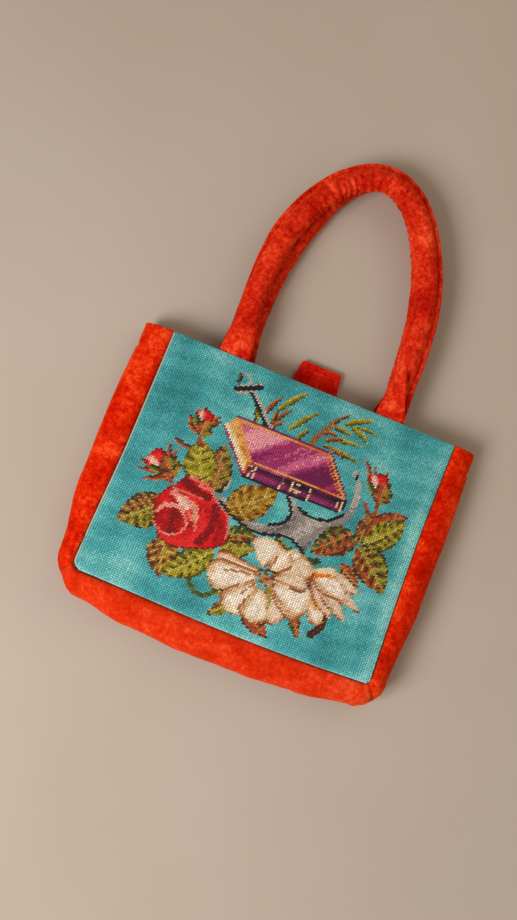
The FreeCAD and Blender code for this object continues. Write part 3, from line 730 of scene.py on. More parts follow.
def draw_lily(picture):
    """Two cream lilies with brown shadows, the second seen from its side."""
    picture.stroke(curve_through([(58, -54), (74, -60), (86, -76), (88, -88), (80, -99)]), 7.0,
                   LEAF_RUST, 0.2)
    picture.stroke(curve_through([(72, -60), (83, -72), (86, -84)]), 3.4, LEAF_OLIVE, 0.6)
    picture.petal((57, -58), (84, -88), 15, CREAM)
    picture.stroke([(59, -61), (76, -74)], 5.0, (226, 172, 70))
    for start, end, width, tones in (
        ((60, -44), (93, -80), 17, CREAM_SHADE), ((62, -44), (108, -78), 15, CREAM_SHADE),
        ((64, -44), (119, -64), 14, CREAM_SHADE), ((64, -42), (112, -48), 17, CREAM_SHADE),
        ((58, -43), (104, -58), 20, CREAM),
    ):
        picture.petal(start, end, width, tones, pointed=True)
    picture.petal((58, -44), (84, -38), 11, PAGES)
    picture.stroke([(62, -48), (78, -42)], 3.2, ORANGE)
    for start, end, width, tones, bend in (
        ((24, -58), (46, -34), 18, CREAM, 0), ((26, -60), (62, -44), 22, CREAM_SHADE, 2),
        ((14, -58), (14, -30), 30, CREAM, 0), ((24, -60), (34, -36), 20, CREAM, 0),
        ((14, -60), (-30, -62), 16, CREAM_SHADE, 3), ((16, -64), (-33, -80), 26, CREAM, 2),
        ((26, -70), (44, -102), 20, CREAM_SHADE, 0), ((14, -70), (-6, -104), 26, CREAM, 2),
        ((20, -74), (22, -107), 26, CREAM, 0), ((26, -68), (70, -78), 32, CREAM, -2),
        ((26, -64), (62, -60), 14, CREAM_SHADE, 2),
    ):
        picture.petal(start, end, width, tones, bend, 0.62)
    for line in ([(14, -66), (-4, -69), (-18, -72)], [(15, -72), (5, -86)], [(28, -72), (44, -82)],
                 [(26, -60), (40, -50)], [(22, -56), (24, -44)]):
        picture.stroke(line, 1.7, CREAM_SHADE, 0.3)
    for place, height in ((14, -64), (20, -61), (27, -63), (30, -69), (18, -70), (24, -72),
                          (22, -66)):
        picture.stroke([(20, -68), (place, height)], 2.4, ORANGE)
        picture.stroke([(place, height), (place + 0.5, height)], 3.0, LEAF_RUST[1])
    picture.stroke(curve_through([(27, -72), (31, -80), (34, -90)]), 2.6, LEAF_OLIVE, 0.7)
    picture.stroke([(12, -62), (20, -58), (30, -58)], 2.4, LEAF_OLIVE, 0.3)


def worked_picture(x, y, random):
    """The colour of the drawing at each place, from 0 to 255."""
    picture = Picture(x, y, random)
    draw_ground(picture)
    draw_sprigs(picture)
    draw_anchor(picture)
    draw_leaves(picture)
    draw_book(picture)
    for base, tip, width, sepals in (
        ((-89, 40), (-92, 62), 20,
         [(-93, 65), (-105, 52), (-102, 44), (-77, 60), (-76, 52), (-73, 57)]),
        ((-98, -8), (-126, 3), 24,
         [(-112, 19), (-103, 15), (-132, -5), (-131, -13), (-122, -21), (-95, 0)]),
        ((98, 44), (87, 67), 24,
         [(72, 77), (83, 72), (97, 72), (104, 63), (79, 62), (107, 48)]),
    ):
        draw_bud(picture, base, tip, width, sepals)
    draw_rose(picture)
    draw_lily(picture)
    return picture.colour


# The needlepoint


def stitch_shape():
    """A plump diagonal stitch: points in cell units with heights from 0 to 1, and triangles."""
    along = [-0.52, -0.30, 0.30, 0.52, 0.30, -0.30]
    across = [0.0, -0.27, -0.27, 0.0, 0.27, 0.27]
    points = [(a, c, 0.0) for a, c in zip(along, across)]
    points += [(0.78 * a, 0.66 * c, 0.72) for a, c in zip(along, across)]
    points += [(-0.24, 0.0, 1.0), (0.24, 0.0, 1.0)]
    faces = []
    for i in range(6):
        k = (i + 1) % 6
        faces += [(i, k, 6 + k), (i, 6 + k, 6 + i)]
    faces += [(6, 7, 12), (7, 8, 13), (7, 13, 12), (8, 9, 13), (9, 10, 13), (10, 11, 12),
              (10, 12, 13), (11, 6, 12)]
    return np.array(points), np.array(faces)


def make_needlepoint():
    """Every stitch of the wool, in four pieces, each stitch a little uneven."""
    random = np.random.default_rng(7)
    pitch_x = 2 * HALF_WIDTH / STITCHES_ACROSS
    pitch_y = 2 * HALF_HEIGHT / STITCHES_UP
    columns = (np.arange(STITCHES_ACROSS) + 0.5) * pitch_x - HALF_WIDTH
    rows = (np.arange(STITCHES_UP + RIM_ROWS) + 0.5) * pitch_y - HALF_HEIGHT
    x, w = np.meshgrid(columns, rows)
    colours = worked_picture(x, w, random)
    left, right = side_edges(w)
    kept = (x > left + 1.2 * MM) & (x < right - 0.5 * MM) & (w > -HALF_HEIGHT + 0.5 * MM)
    x, w, colours = x[kept], w[kept], colours[kept]
    tone = 1 + 0.05 * random.standard_normal((len(x), 1))
    colours = linear_light(colours * tone)
    shape, faces = stitch_shape()
    diagonal = math.hypot(pitch_x, pitch_y)
    run = np.array([pitch_x, pitch_y]) / diagonal
    lean = np.radians(2.5 * random.standard_normal(len(x)))
    plump = 1 + 0.06 * random.standard_normal(len(x))
    along = shape[:, 0] * diagonal * 0.98
    across = shape[:, 1] * diagonal * 0.92
    dx = along[None] * run[0] - across[None] * run[1] * plump[:, None]
    dw = along[None] * run[1] + across[None] * run[0] * plump[:, None]
    turned_x = dx * np.cos(lean)[:, None] - dw * np.sin(lean)[:, None]
    turned_w = dx * np.sin(lean)[:, None] + dw * np.cos(lean)[:, None]
    jitter = 0.06 * MM * random.standard_normal((2, len(x), 1))
    height = -0.95 * MM + shape[:, 2] * 0.95 * MM * plump[:, None]
    points = front_point(x[:, None] + turned_x + jitter[0], w[:, None] + turned_w + jitter[1],
                         height)
    count = len(shape)
    for name, band in zip("abcd", np.array_split(np.arange(len(x)), 4)):
        band_faces = (faces[None] + count * np.arange(len(band))[:, None, None]).reshape(-1, 3)
        obj = mesh_object(f"needlepoint_stitches_{name}", points[band], band_faces.tolist(),
                          WOOL_STITCH)
        colour_points(obj, np.repeat(colours[band], count, axis=0))
        dress(obj, "front_panel")


def front_sheet(name, top, bottom, inset, past_rim, material):
    """A layer of the front between two depths under the stitches' tops, and its grid."""
    up = np.concatenate([np.linspace(-HALF_HEIGHT + inset, HALF_HEIGHT - 4 * MM, 120),
                         np.linspace(HALF_HEIGHT - 3 * MM, HALF_HEIGHT + past_rim, 14)])
    u, w = np.meshgrid(np.linspace(0, 1, 151), up)
    left, right = side_edges(w)
    x = left + inset + u * (right - left - 2 * inset)
    upper = front_point(x, w, np.full_like(x, -top))
    lower = front_point(x, w, np.full_like(x, -bottom))
    return slab(name, upper, lower, material), x, w


def make_ground():
    """The worked cloth under the stitches, its colours painted darker as the shade between them, with
    a bare canvas edge.
    """
    shade_between = 0.72
    obj, x, w = front_sheet("needlepoint_ground", 0.80 * MM, WOOL, 0, 2.2 * MM, WOOL_GROUND)
    worked = worked_picture(x, w, np.random.default_rng(7)).reshape(-1, 3)
    # Painted shade: the drawing's colours darkened, for the shade in the gaps between the stitches.
    dark = linear_light(worked * shade_between)
    pale = np.array(linear(206, 206, 190))
    left, _ = side_edges(w)
    bare = smooth_step(left + 1.6 * MM - x, 0, 0.5 * MM)
    bare = bare + smooth_step(-HALF_HEIGHT + 1.1 * MM - w, 0, 0.5 * MM)
    colours = dark + (pale - dark) * np.clip(bare, 0, 1).reshape(-1, 1)
    colour_points(obj, np.concatenate([colours, colours]))
    dress(obj, "front_panel", "needlepoint")
    backing, _, _ = front_sheet("canvas_backing", WOOL + 0.1 * MM, WOOL + 0.7 * MM, 0.5 * MM,
                                -0.3 * MM, CANVAS)
    dress(backing, "front_panel", "canvas")


# The gusset, one strip from mouth to mouth round the base, cut in three at the corners

# How far it stands out from the seam, in millimetres, at even places along each side
BULGES_LEFT = [32, 34, 32.5, 23]
BULGE_LEFT_CORNER = 20.5
BULGES_BASE = [27.5, 35.5, 38.5, 38, 35, 27.5]
BULGE_RIGHT_CORNER = 22.5
BULGES_RIGHT = [21, 27, 28.5, 27]
WIDEST_SHARE = 0.42
GUSSET_AROUND = 420
GUSSET_ACROSS = 44
LINING_AROUND = 150
LINING_ACROSS = 24
GUSSET_RUN = 0.79
GUSSET_WIDTH = 80 * MM
VELVET_THICKNESS = 1.5 * MM
SEAM_GAP = 0.5 * MM
HEM = 22 * MM
CORNER_FOLDS = (2.0 * MM, 0.5 * MM)
BROAD_KEPT = 0.5
FINE_KEPT = 0.15
MOST_SIDEWAYS = 2.5 * MM
LEAST_OUT = -0.8 * MM
MOST_OUT = 1.6 * MM
SETTLE_FRAMES = 20
SETTLE_PRESSURE = 60
SETTLE_GROWTH = 0.05


def eased(values, share):
    """The value at that share of a run, where the values stand evenly along it."""
    place = np.asarray(share) * (len(values) - 1)
    i = np.minimum(place.astype(int), len(values) - 2)
    ease = (1 - np.cos(math.pi * (place - i))) / 2
    table = np.array(values, float)
    return table[i] * (1 - ease) + table[i + 1] * ease


def gusset_path(count):
    """Points of the seam line, the way out from it, and how far the strip stands out there.
    Also the places where the three pieces meet, as shares of the whole run."""
    left = 2 * HALF_HEIGHT - LEFT_CORNER
    right = 2 * HALF_HEIGHT - RIGHT_CORNER
    base = 2 * HALF_WIDTH - LEFT_CORNER - RIGHT_CORNER
    straights = {
        0: ((-HALF_WIDTH - SEAM_GAP, HALF_HEIGHT), (0, -left), (-1, 0), BULGES_LEFT),
        2: ((-HALF_WIDTH + LEFT_CORNER, -HALF_HEIGHT - SEAM_GAP), (base, 0), (0, -1), BULGES_BASE),
        4: ((HALF_WIDTH + SEAM_GAP, -HALF_HEIGHT + RIGHT_CORNER), (0, right), (1, 0), BULGES_RIGHT),
    }
    corners = {
        1: (-1, LEFT_CORNER, 1.0, [BULGES_LEFT[-1], BULGE_LEFT_CORNER, BULGES_BASE[0]]),
        3: (1, RIGHT_CORNER, 1.5, [BULGES_BASE[-1], BULGE_RIGHT_CORNER, BULGES_RIGHT[0]]),
    }
    bends = [math.pi / 2 * (radius + SEAM_GAP) for radius in (LEFT_CORNER, RIGHT_CORNER)]
    ends = np.cumsum([0, left, bends[0], base, bends[1], right])
    s = np.linspace(0, ends[-1], count)
    points, outward, bulge = np.zeros((count, 2)), np.zeros((count, 2)), np.zeros(count)
    for k in range(5):
        here = (s >= ends[k]) & (s <= ends[k + 1])
        share = (s[here] - ends[k]) / (ends[k + 1] - ends[k])
        if k in straights:
            start, way, out, bulges = straights[k]
            points[here] = np.array(start) + share[:, None] * np.array(way)
            outward[here] = out
        else:
            side, radius, start_turn, bulges = corners[k]
            angle = math.pi * start_turn + share * math.pi / 2
            way = np.stack([np.cos(angle), np.sin(angle)], 1)
            centre = np.array([side * (HALF_WIDTH - radius), -HALF_HEIGHT + radius])
            points[here] = centre + way * (radius + SEAM_GAP)
            outward[here] = way
        bulge[here] = eased(bulges, share)
    cuts = ((ends[1] + ends[2]) / 2 / ends[-1], (ends[3] + ends[4]) / 2 / ends[-1])
    return points, outward, bulge * MM, cuts


def strip_grid(around, across, inset):
    """A grid of points on the gusset, inset from its outer face, from front to back seam."""
    points, outward, bulge, cuts = gusset_path(around)
    turn = np.linspace(0, math.pi, across)
    depth = seam_height(points[:, 1])[:, None]
    middle = WIDEST_SHARE * depth
    out = (bulge[:, None] - inset) * np.sin(turn)[None]
    upper = depth - middle - inset
    lower = middle - inset
    z = middle + np.where(turn < math.pi / 2, upper, lower) * np.cos(turn)[None]
    xy = points[:, None] + outward[:, None] * out[..., None]
    grid = np.concatenate([xy, z[..., None]], axis=-1)
    hold = smooth_step(1 - np.linspace(0, 1, across), 0.4, 1.0)[None]
    return settled(grid, hold), outward, cuts


def settle_cloth(obj, pinned):
    """Lets the cloth settle under a little pressure, with some points held, and returns its
    points. The cloth is cut slightly large, so it puckers as a sewn strip does."""
    group = obj.vertex_groups.new(name="held")
    for weight in sorted(set(pinned.tolist())):
        if weight > 0:
            group.add(np.nonzero(pinned == weight)[0].tolist(), weight, "REPLACE")
    cloth = obj.modifiers.new("settle", "CLOTH")
    settings = cloth.settings
    settings.quality = 6
    settings.mass = 0.12
    settings.tension_stiffness = 12
    settings.compression_stiffness = 12
    settings.shear_stiffness = 6
    settings.bending_stiffness = 0.25
    settings.vertex_group_mass = "held"
    settings.use_pressure = True
    settings.uniform_pressure_force = SETTLE_PRESSURE
    settings.shrink_min = -SETTLE_GROWTH
    settings.effector_weights.gravity = 0
    cloth.collision_settings.use_collision = False
    scene = bpy.context.scene
    for number in range(1, SETTLE_FRAMES + 1):
        scene.frame_set(number)
    evaluated = obj.evaluated_get(bpy.context.evaluated_depsgraph_get())
    points = np.array([v.co for v in evaluated.data.vertices])
    obj.modifiers.remove(cloth)
    obj.vertex_groups.clear()
    scene.frame_set(1)
    return points


def outward_normals(grid, outward):
    """Unit normals of a grid, on the side that faces out of the bag."""
    normal = unit(np.cross(np.gradient(grid, axis=1), np.gradient(grid, axis=0)))
    facing = np.sign((normal[:, grid.shape[1] // 2, :2] * outward).sum(-1))
    return normal * facing[:, None, None]


def blurred_along(values, width):
    """Running mean of each column of a grid, over an odd number of rows."""
    half = width // 2
    padded = np.pad(values, ((half + 1, half), (0, 0)), mode="edge")
    total = np.cumsum(padded, axis=0)
    return (total[width:] - total[:-width]) / width


def gusset_surface():
    """The strip's outer face after the cloth has settled, as a grid. Its broad swelling is
    halved and its small puckers are mostly smoothed, so the outline stays even."""
    grid, outward, cuts = strip_grid(GUSSET_AROUND, GUSSET_ACROSS, 1.2 * MM)
    obj = mesh_object("gusset_in_making", grid.reshape(-1, 3),
                      grid_faces(GUSSET_AROUND, GUSSET_ACROSS), VELVET)
    pinned = np.zeros((GUSSET_AROUND, GUSSET_ACROSS))
    pinned[:, 0] = 1
    pinned[:, -1] = 1
    pinned[:, -4:-1] = 0.4
    pinned[:2, ::3] = 0.8
    pinned[-2:, ::3] = 0.8
    points = settle_cloth(obj, pinned.ravel()).reshape(grid.shape)
    bpy.data.objects.remove(obj)
    move = points - grid
    normal = outward_normals(grid, outward)
    out = (move * normal).sum(-1, keepdims=True)
    along = move - normal * out
    length = np.linalg.norm(along, axis=-1, keepdims=True)
    along = along * np.minimum(1, MOST_SIDEWAYS / np.maximum(length, 1e-9))
    broad = blurred_along(out[..., 0], 41)[..., None]
    out = BROAD_KEPT * broad + FINE_KEPT * (out - broad)
    grid = grid + along + normal * np.clip(out, LEAST_OUT, MOST_OUT)
    return grid, outward, cuts


def cut_pieces(cuts, count):
    """Name, first and last row of each of the gusset's three pieces."""
    first, second = (round(c * (count - 1)) for c in cuts)
    return ("left", 0, first + 1), ("base", first, second + 1), ("right", second, count)


def gather_piece(obj, node):
    """Hides the imported solid that a gusset piece stands for and bakes the piece's placing into its
    points.
    """
    dress(obj, None, node)
    follow_mouth(obj)


def make_gusset():
    """The velvet strip, with folds fanning from its lower corners and a hem at the mouth."""
    grid, outward, cuts = gusset_surface()
    normal = outward_normals(grid, outward)
    share = np.linspace(0, 1, GUSSET_AROUND)[:, None]
    across = np.linspace(0, 1, GUSSET_ACROSS)[None]
    middle = np.sin(math.pi * across)
    broad_folds = rumple(grid, 46 * MM, 3.1).reshape(GUSSET_AROUND, -1) * 0.25 * MM
    fine_folds = rumple(grid, 11 * MM, 9.7).reshape(GUSSET_AROUND, -1) * 0.35 * MM
    folds = broad_folds + fine_folds
    for cut, strength in zip(cuts, CORNER_FOLDS):
        near = np.exp(-((share - cut + 0.022) / 0.045) ** 2)
        fan = np.sin((share - cut) * 150 / (0.30 + across)) * middle
        fan = fan * smooth_step(0.46 - across, 0, 0.16)
        folds += strength * near * fan
    run = np.linalg.norm(np.diff(grid[:, 0, :2], axis=0), axis=1).sum()
    from_mouth = np.minimum(share, 1 - share) * run
    hem_crease = 1.6 * MM * np.exp(-((from_mouth - HEM) / (1.8 * MM)) ** 2)
    hem_step = 0.5 * MM * smooth_step(HEM - from_mouth, 0, 3 * MM)
    folds = folds - hem_crease - hem_step
    seam = np.exp(-across * GUSSET_WIDTH / (2.2 * MM))
    seam = seam + np.exp(-(1 - across) * GUSSET_WIDTH / (2.2 * MM))
    outer = grid + normal * (folds * middle ** 0.6 - 1.2 * MM * seam)[..., None]
    outer[..., 2] = np.maximum(outer[..., 2], 0.2 * MM)
    inner = outer - normal * VELVET_THICKNESS
    inner[..., 2] = np.maximum(inner[..., 2], 0.1 * MM)
    for name, start, stop in cut_pieces(cuts, GUSSET_AROUND):
        # The base strip takes the velvet painted lighter: painted light, for the lamp falling on it.
        material = VELVET_PAINTED_LIGHTER if name == "base" else VELVET
        obj = slab(f"{name}_gusset_velvet", outer[start:stop], inner[start:stop], material)
        gather_piece(obj, f"{name}_gusset")


def follow_mouth(obj):
    """The strip joins the back panel at its lower seam and the front at its upper one. Bakes the
    strip's placing into its points."""
    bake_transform(obj)


def make_gusset_lining():
    """The cotton inside the velvet strip, close to it at the mouth and looser further in."""
    share = np.linspace(0, 1, LINING_AROUND)
    from_mouth = np.minimum(share, np.linspace(1, 0, LINING_AROUND)) * GUSSET_RUN
    inset = (3.5 + 1.9 * smooth_step(from_mouth, 3 * MM, 30 * MM)) * MM
    grid, outward, cuts = strip_grid(LINING_AROUND, LINING_ACROSS, inset[:, None])
    normal = outward_normals(grid, outward)
    slack = 0.5 + 0.5 * rumple(grid, 20 * MM, 5.5).reshape(grid.shape[:2])
    grid = grid - normal * slack[..., None] * MM
    inner = grid - normal * 0.6 * MM
    for name, start, stop in cut_pieces(cuts, LINING_AROUND):
        obj = slab(f"{name}_lining_cotton", grid[start:stop], inner[start:stop], LINING)
        gather_piece(obj, f"{name}_lining")


# Panels under the front


def panel_grid(columns, rows, inset):
    """Places on the panel's outline shape, inset from its edges."""
    up = np.linspace(-HALF_HEIGHT + inset, HALF_HEIGHT - inset, rows)
    u, y = np.meshgrid(np.linspace(0, 1, columns), up)
    left, right = side_edges(y)
    return left + inset + u * (right - left - 2 * inset), y


def make_back_panel():
    """Velvet back, flat where it rests, with a softly rounded edge."""
    x, y = panel_grid(120, 100, 0.4 * MM)
    edge = np.minimum(HALF_WIDTH - np.abs(x), HALF_HEIGHT - np.abs(y))
    round_off = 0.7 * MM * np.exp(-np.maximum(edge, 0) / (1.2 * MM))
    lower = np.stack([x, y, round_off], -1)
    upper = np.stack([x, y, 2.0 * MM - round_off], -1)
    # The back takes the same velvet painted lighter.
    obj = slab("back_panel_velvet", upper, lower, VELVET_PAINTED_LIGHTER)
    dress(obj, "bag", "back_panel")


def make_linings():
    """Cotton over the back panel and under the front, with soft ripples."""
    x, y = panel_grid(90, 76, 1.2 * MM)
    ripple = 0.35 * MM * rumple(np.stack([x, y, 0 * x], -1), 28 * MM, 2.2).reshape(x.shape)
    back_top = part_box("back_lining")[1][2] + ripple * 0.5
    front_top = front_height(x, y) - 4.3 * MM - 0.4 * MM + ripple * 0.5
    for name, body, top, pull, on in (
        ("back_lining", "bag", back_top, 0, "back_panel_velvet"),
        ("front_lining", "front_panel", front_top, 1, "canvas_backing"),
    ):
        upper = settled(np.stack([x, y, top], -1), pull)
        lower = settled(np.stack([x, y, top - 0.7 * MM], -1), pull)
        obj = slab(f"{name}_cotton", upper, lower, LINING)
        dress(obj, body, name)


# Handles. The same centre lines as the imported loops, in millimetres

FRONT_HANDLE_LINE = [
    (-87, 150), (-91.5, 185), (-88, 235), (-78, 283), (-50, 332), (-10, 356),
    (26, 340), (52, 302), (72.5, 249), (76.5, 198), (79, 150),
]
BACK_HANDLE_LINE = [
    (-81, 150), (-82, 190), (-78, 237), (-67, 285), (-48, 338), (-10, 365),
    (30, 345), (57, 295), (73, 240), (77, 195), (80.5, 150),
]
TUBE_WIDTH = 22.5
TUBE_THICKNESS = 18
END_WIDTH = 31
END_THICKNESS = 2.6
FLANGE_WIDTH = 5.6
GATHER_DEPTH = 3.4
ARCH_SWELL = 1.3
FILLER_SHARE = 0.78
RING_SPACING = 1.15
LEAST_HEIGHT = 0.25
ROOT_Y = 126.5
HIDDEN_Y = 119


def loop_line(corners, step):
    """Even points along the smooth line that the corners guide, with straight sewn ends."""
    c = np.array(corners, float)
    middles = (c[:-1] + c[1:]) / 2
    points = [np.array([[c[0, 0], HIDDEN_Y], [c[0, 0], ROOT_Y], c[0]])]
    t = np.linspace(0, 1, 40)[:, None]
    for start, corner, end in zip(middles, c[1:-1], middles[1:]):
        points.append((1 - t) ** 2 * start + 2 * t * (1 - t) * corner + t ** 2 * end)
    points.append(np.array([c[-1], [c[-1, 0], ROOT_Y], [c[-1, 0], HIDDEN_Y]]))
    line = np.concatenate(points)
    gone = np.concatenate([[0], np.cumsum(np.linalg.norm(np.diff(line, axis=0), axis=1))])
    keep = np.concatenate([[True], np.diff(gone) > 1e-6])
    line, gone = line[keep], gone[keep]
    s = np.linspace(0, gone[-1], int(gone[-1] / step))
    return np.stack([np.interp(s, gone, line[:, k]) for k in range(2)], 1), s


def loop_profile():
    """Angles round the tube, then the flange's places as (share of its width, half height). The
    flange has a narrow neck where its seam is sewn, and a rounded edge."""
    opening = math.radians(7)
    angles = np.linspace(opening, 2 * math.pi - opening, 64)
    top = [(0.10, 0.35), (0.28, 0.55), (0.42, 1.35), (0.70, 1.6), (0.92, 1.2)]
    flange = [(a, -h) for a, h in top] + [(1.0, 0.0)] + [(a, h) for a, h in reversed(top)]
    return angles, flange


def even_tangents(line):
    """Directions along the line, averaged so that its bends don't crowd the rings."""
    tangent = np.gradient(line, axis=0)
    padded = np.pad(tangent, ((6, 6), (0, 0)), mode="edge")
    window = np.ones(13) / 13
    tangent = np.stack([np.convolve(padded[:, k], window, "valid") for k in range(2)], 1)
    return unit(tangent)


def gathers(s, angles, arch, seed):
    """Depth of the creases that pucker the inside of the arch, from 0 to 1, and how far the
    cloth between them stands up."""
    random = np.random.default_rng(seed)
    inward = (1 - np.cos(angles)) / 2
    depth = np.zeros((len(s), len(angles)))
    place = 0.0
    while place < s[-1]:
        reach = random.uniform(0.45, 1.0)
        slant = random.uniform(-3.5, 3.5)
        half = random.uniform(1.4, 2.6)
        middle = place + slant * (inward - 0.6) + 1.2 * np.sin(2 * angles + place)
        crease = np.exp(-np.abs((s[:, None] - middle[None]) / half) ** 1.5)
        fade = smooth_step(inward[None], 0.95 - reach, 1.15 - reach)
        depth = np.maximum(depth, crease * fade * random.uniform(0.6, 1.0))
        place += random.uniform(5.5, 12.0)
    return depth * arch[:, None]


def foot_crease(points, ring_heights):
    """How the cloth folds over itself at the front handle's right foot: a narrow valley that
    leans, with a lip along its left side."""
    x, y = points[..., 0], points[..., 1]
    top = (ring_heights > 0) & (x > 40)
    fold_x = 77 + (178 - y) * 14 / 38
    inside = smooth_step(y, 130, 141) * (1 - smooth_step(y, 168, 182))
    beside = x - fold_x
    valley = -5.2 * np.exp(-(beside / np.where(beside < 0, 1.5, 3.4)) ** 2)
    lip = 2.2 * np.exp(-((beside + 3.2) / 2.2) ** 2)
    return np.where(top, (valley + lip) * inside, 0)


def handle_sections(s, full, tube, seed, creased):
    """The cross section at each place s along the line, as points across and up from it: a
    round tube with gathers, then the sewn flange. Also how many points are on the tube."""
    share = s / s[-1]
    slim = 2.2 * np.exp(-((share - 0.93) / 0.05) ** 2) if creased else 0 * s
    half_width = (END_WIDTH + (TUBE_WIDTH - END_WIDTH) * full) / 2 - slim
    half_thick = (END_THICKNESS + (TUBE_THICKNESS - END_THICKNESS) * tube) / 2
    angles, flange = loop_profile()
    arch = np.exp(-((share - 0.51) / 0.185) ** 6)
    legs = 0.10 * (1 - arch) * full
    rising = smooth_step(share, 0.10, 0.28)
    flange_share = np.where(share < 0.5, rising, 1.0) * full
    inward = (1 - np.cos(angles)) / 2
    creases = gathers(s, angles, np.maximum(arch, legs), seed) * (1.0 if creased else 0.5)
    radial = -GATHER_DEPTH * creases + ARCH_SWELL * arch[:, None] * inward[None]
    ring = np.stack([np.cos(angles)[None] * half_width[:, None],
                     np.sin(angles)[None] * half_thick[:, None]], -1)
    length = np.linalg.norm(ring, axis=-1, keepdims=True)
    ring = ring * (1 + (radial * full[:, None])[..., None] / length)
    near = half_width * math.cos(angles[0])
    reach = half_width + FLANGE_WIDTH * flange_share - near
    squeeze = np.minimum(1, half_thick / 2.6)
    edge = np.stack([np.stack([near + reach * a, h * squeeze], -1) for a, h in flange], 1)
    return np.concatenate([ring, edge], axis=1), len(angles)


def make_handle(name, body, corners, tube_z, root_z, seed, creased):
    """A padded velvet loop and the filler inside it. creased is the front one, which has deeper
    gathers and a fold at its right foot."""
    line, s = loop_line(corners, RING_SPACING)
    count = len(s)
    tangent = even_tangents(line)
    out = np.stack([-tangent[:, 1], tangent[:, 0]], 1)
    y = line[:, 1]
    spread = np.where((s < s[-1] / 2) & creased, 62, 32)
    full = smooth_step(y, ROOT_Y + 1, ROOT_Y + spread)
    tube = smooth_step(y, ROOT_Y - 1, ROOT_Y + 27)
    under_rim = root_z - 2.8 * (1 - smooth_step(y, 123.5, 130)) if creased else root_z
    height = under_rim + (tube_z - under_rim) * tube
    rings, round_count = handle_sections(s, full, tube, seed, creased)
    per_ring = rings.shape[1]
    points = np.zeros((count, per_ring, 3))
    points[..., :2] = line[:, None] + out[:, None] * rings[..., :1]
    points[..., 2] = height[:, None] + rings[..., 1]
    centre = np.concatenate([line, height[:, None]], 1)[:, None]
    away = unit(points - centre, 1e-6)
    dents = 0.9 * rumple(points, 17, seed).reshape(count, per_ring)
    dents += 0.5 * rumple(points, 6, seed + 4).reshape(count, per_ring)
    dents[:, round_count:] *= 0.4
    points += away * (dents * (0.2 + 0.8 * tube[:, None]))[..., None]
    pleats = 0.5 * np.sin(points[..., 0] / 1.25 + 2 * np.sin(points[..., 0] / 5))
    points[..., 2] += pleats * (1 - full[:, None]) * np.sign(rings[..., 1])
    if creased:
        points[..., 2] += foot_crease(points, rings[..., 1])
    points[..., 2] = np.maximum(points[..., 2], LEAST_HEIGHT)
    obj = capped_tube(f"{name}_velvet", points * MM, VELVET_HANDLE)
    dress(obj, None, f"{name}_cover")
    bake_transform(obj)
    stuffed = np.nonzero(tube > 0.5)[0]
    inner = centre + (points - centre) * FILLER_SHARE
    inner = inner[stuffed[0]:stuffed[-1] + 1, 1:round_count - 1:2]
    filler = capped_tube(f"{name}_filler", inner * MM, FILLER)
    dress(filler, body, f"{name}_core")


# Closure tab


TAB_ROOT_HALF = 24.5 * MM
TAB_TIP_HALF = 21 * MM
TAB_CORNER = 2.0 * MM
TAB_SEAM = 5 * MM
TAB_SEWN_IN = 6 * MM


def make_tab():
    """Two velvet layers with rounded tip corners, and a topstitched groove in the upper one."""
    low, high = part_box("tab_upper")
    root_y, tip_y = low[1], high[1]
    length = tip_y - root_y
    under_low, under_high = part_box("tab_lower")
    uu, vv = np.meshgrid(np.linspace(-1, 1, 80), np.linspace(-TAB_SEWN_IN / length, 1, 60))
    half = TAB_ROOT_HALF + (TAB_TIP_HALF - TAB_ROOT_HALF) * np.clip(vv, 0, 1)
    near_tip = np.clip(vv * length - (length - TAB_CORNER), 0, TAB_CORNER)
    half = half - (TAB_CORNER - np.sqrt(TAB_CORNER ** 2 - near_tip ** 2))
    x = uu * half
    y = root_y + vv * length
    edge = np.minimum(half - np.abs(x), tip_y - y)
    groove = 0.75 * MM * np.exp(-((edge - TAB_SEAM) / (0.6 * MM)) ** 2)
    roll = 0.6 * MM * np.exp(-np.maximum(edge, 0) / (0.9 * MM))
    plump = 0.35 * MM * smooth_step(edge, TAB_SEAM, TAB_SEAM + 4 * MM)
    plump += 0.25 * MM * rumple(np.stack([x, y, 0 * x], -1), 7 * MM, 1.7).reshape(x.shape)
    flat = 0 * x
    # Both layers take the velvet painted darker: painted shade under the panel's edge.
    for name, other, top, bottom, below in (
        ("tab_upper", "tab_lower", high[2] + plump - groove - roll, flat + low[2], low[2]),
        ("tab_lower", "tab_upper", flat + under_high[2], under_low[2] + 0.4 * groove + roll,
         under_low[2]),
    ):
        obj = slab(f"{name}_velvet", np.stack([x, y, top], -1), np.stack([x, y, bottom], -1),
                   VELVET_TAB_PAINTED_SHADE)
        dress(obj, None, name)
        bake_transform(obj)
    root, tip = root_y + 1 * MM, tip_y - TAB_SEAM
    left = [(-TAB_ROOT_HALF + TAB_SEAM, root), (-TAB_TIP_HALF + TAB_SEAM, tip)]
    right = [(TAB_ROOT_HALF - TAB_SEAM, root), (TAB_TIP_HALF - TAB_SEAM, tip)]
    lines = [left, [left[1], right[1]], [right[1], right[0]]]
    rows = [[(x, y, high[2] - 0.45 * MM) for x, y in ends] for ends in lines]
    sewn_line("tab_topstitching", rows, 2.6 * MM, 0.28 * MM, "closure_tab")


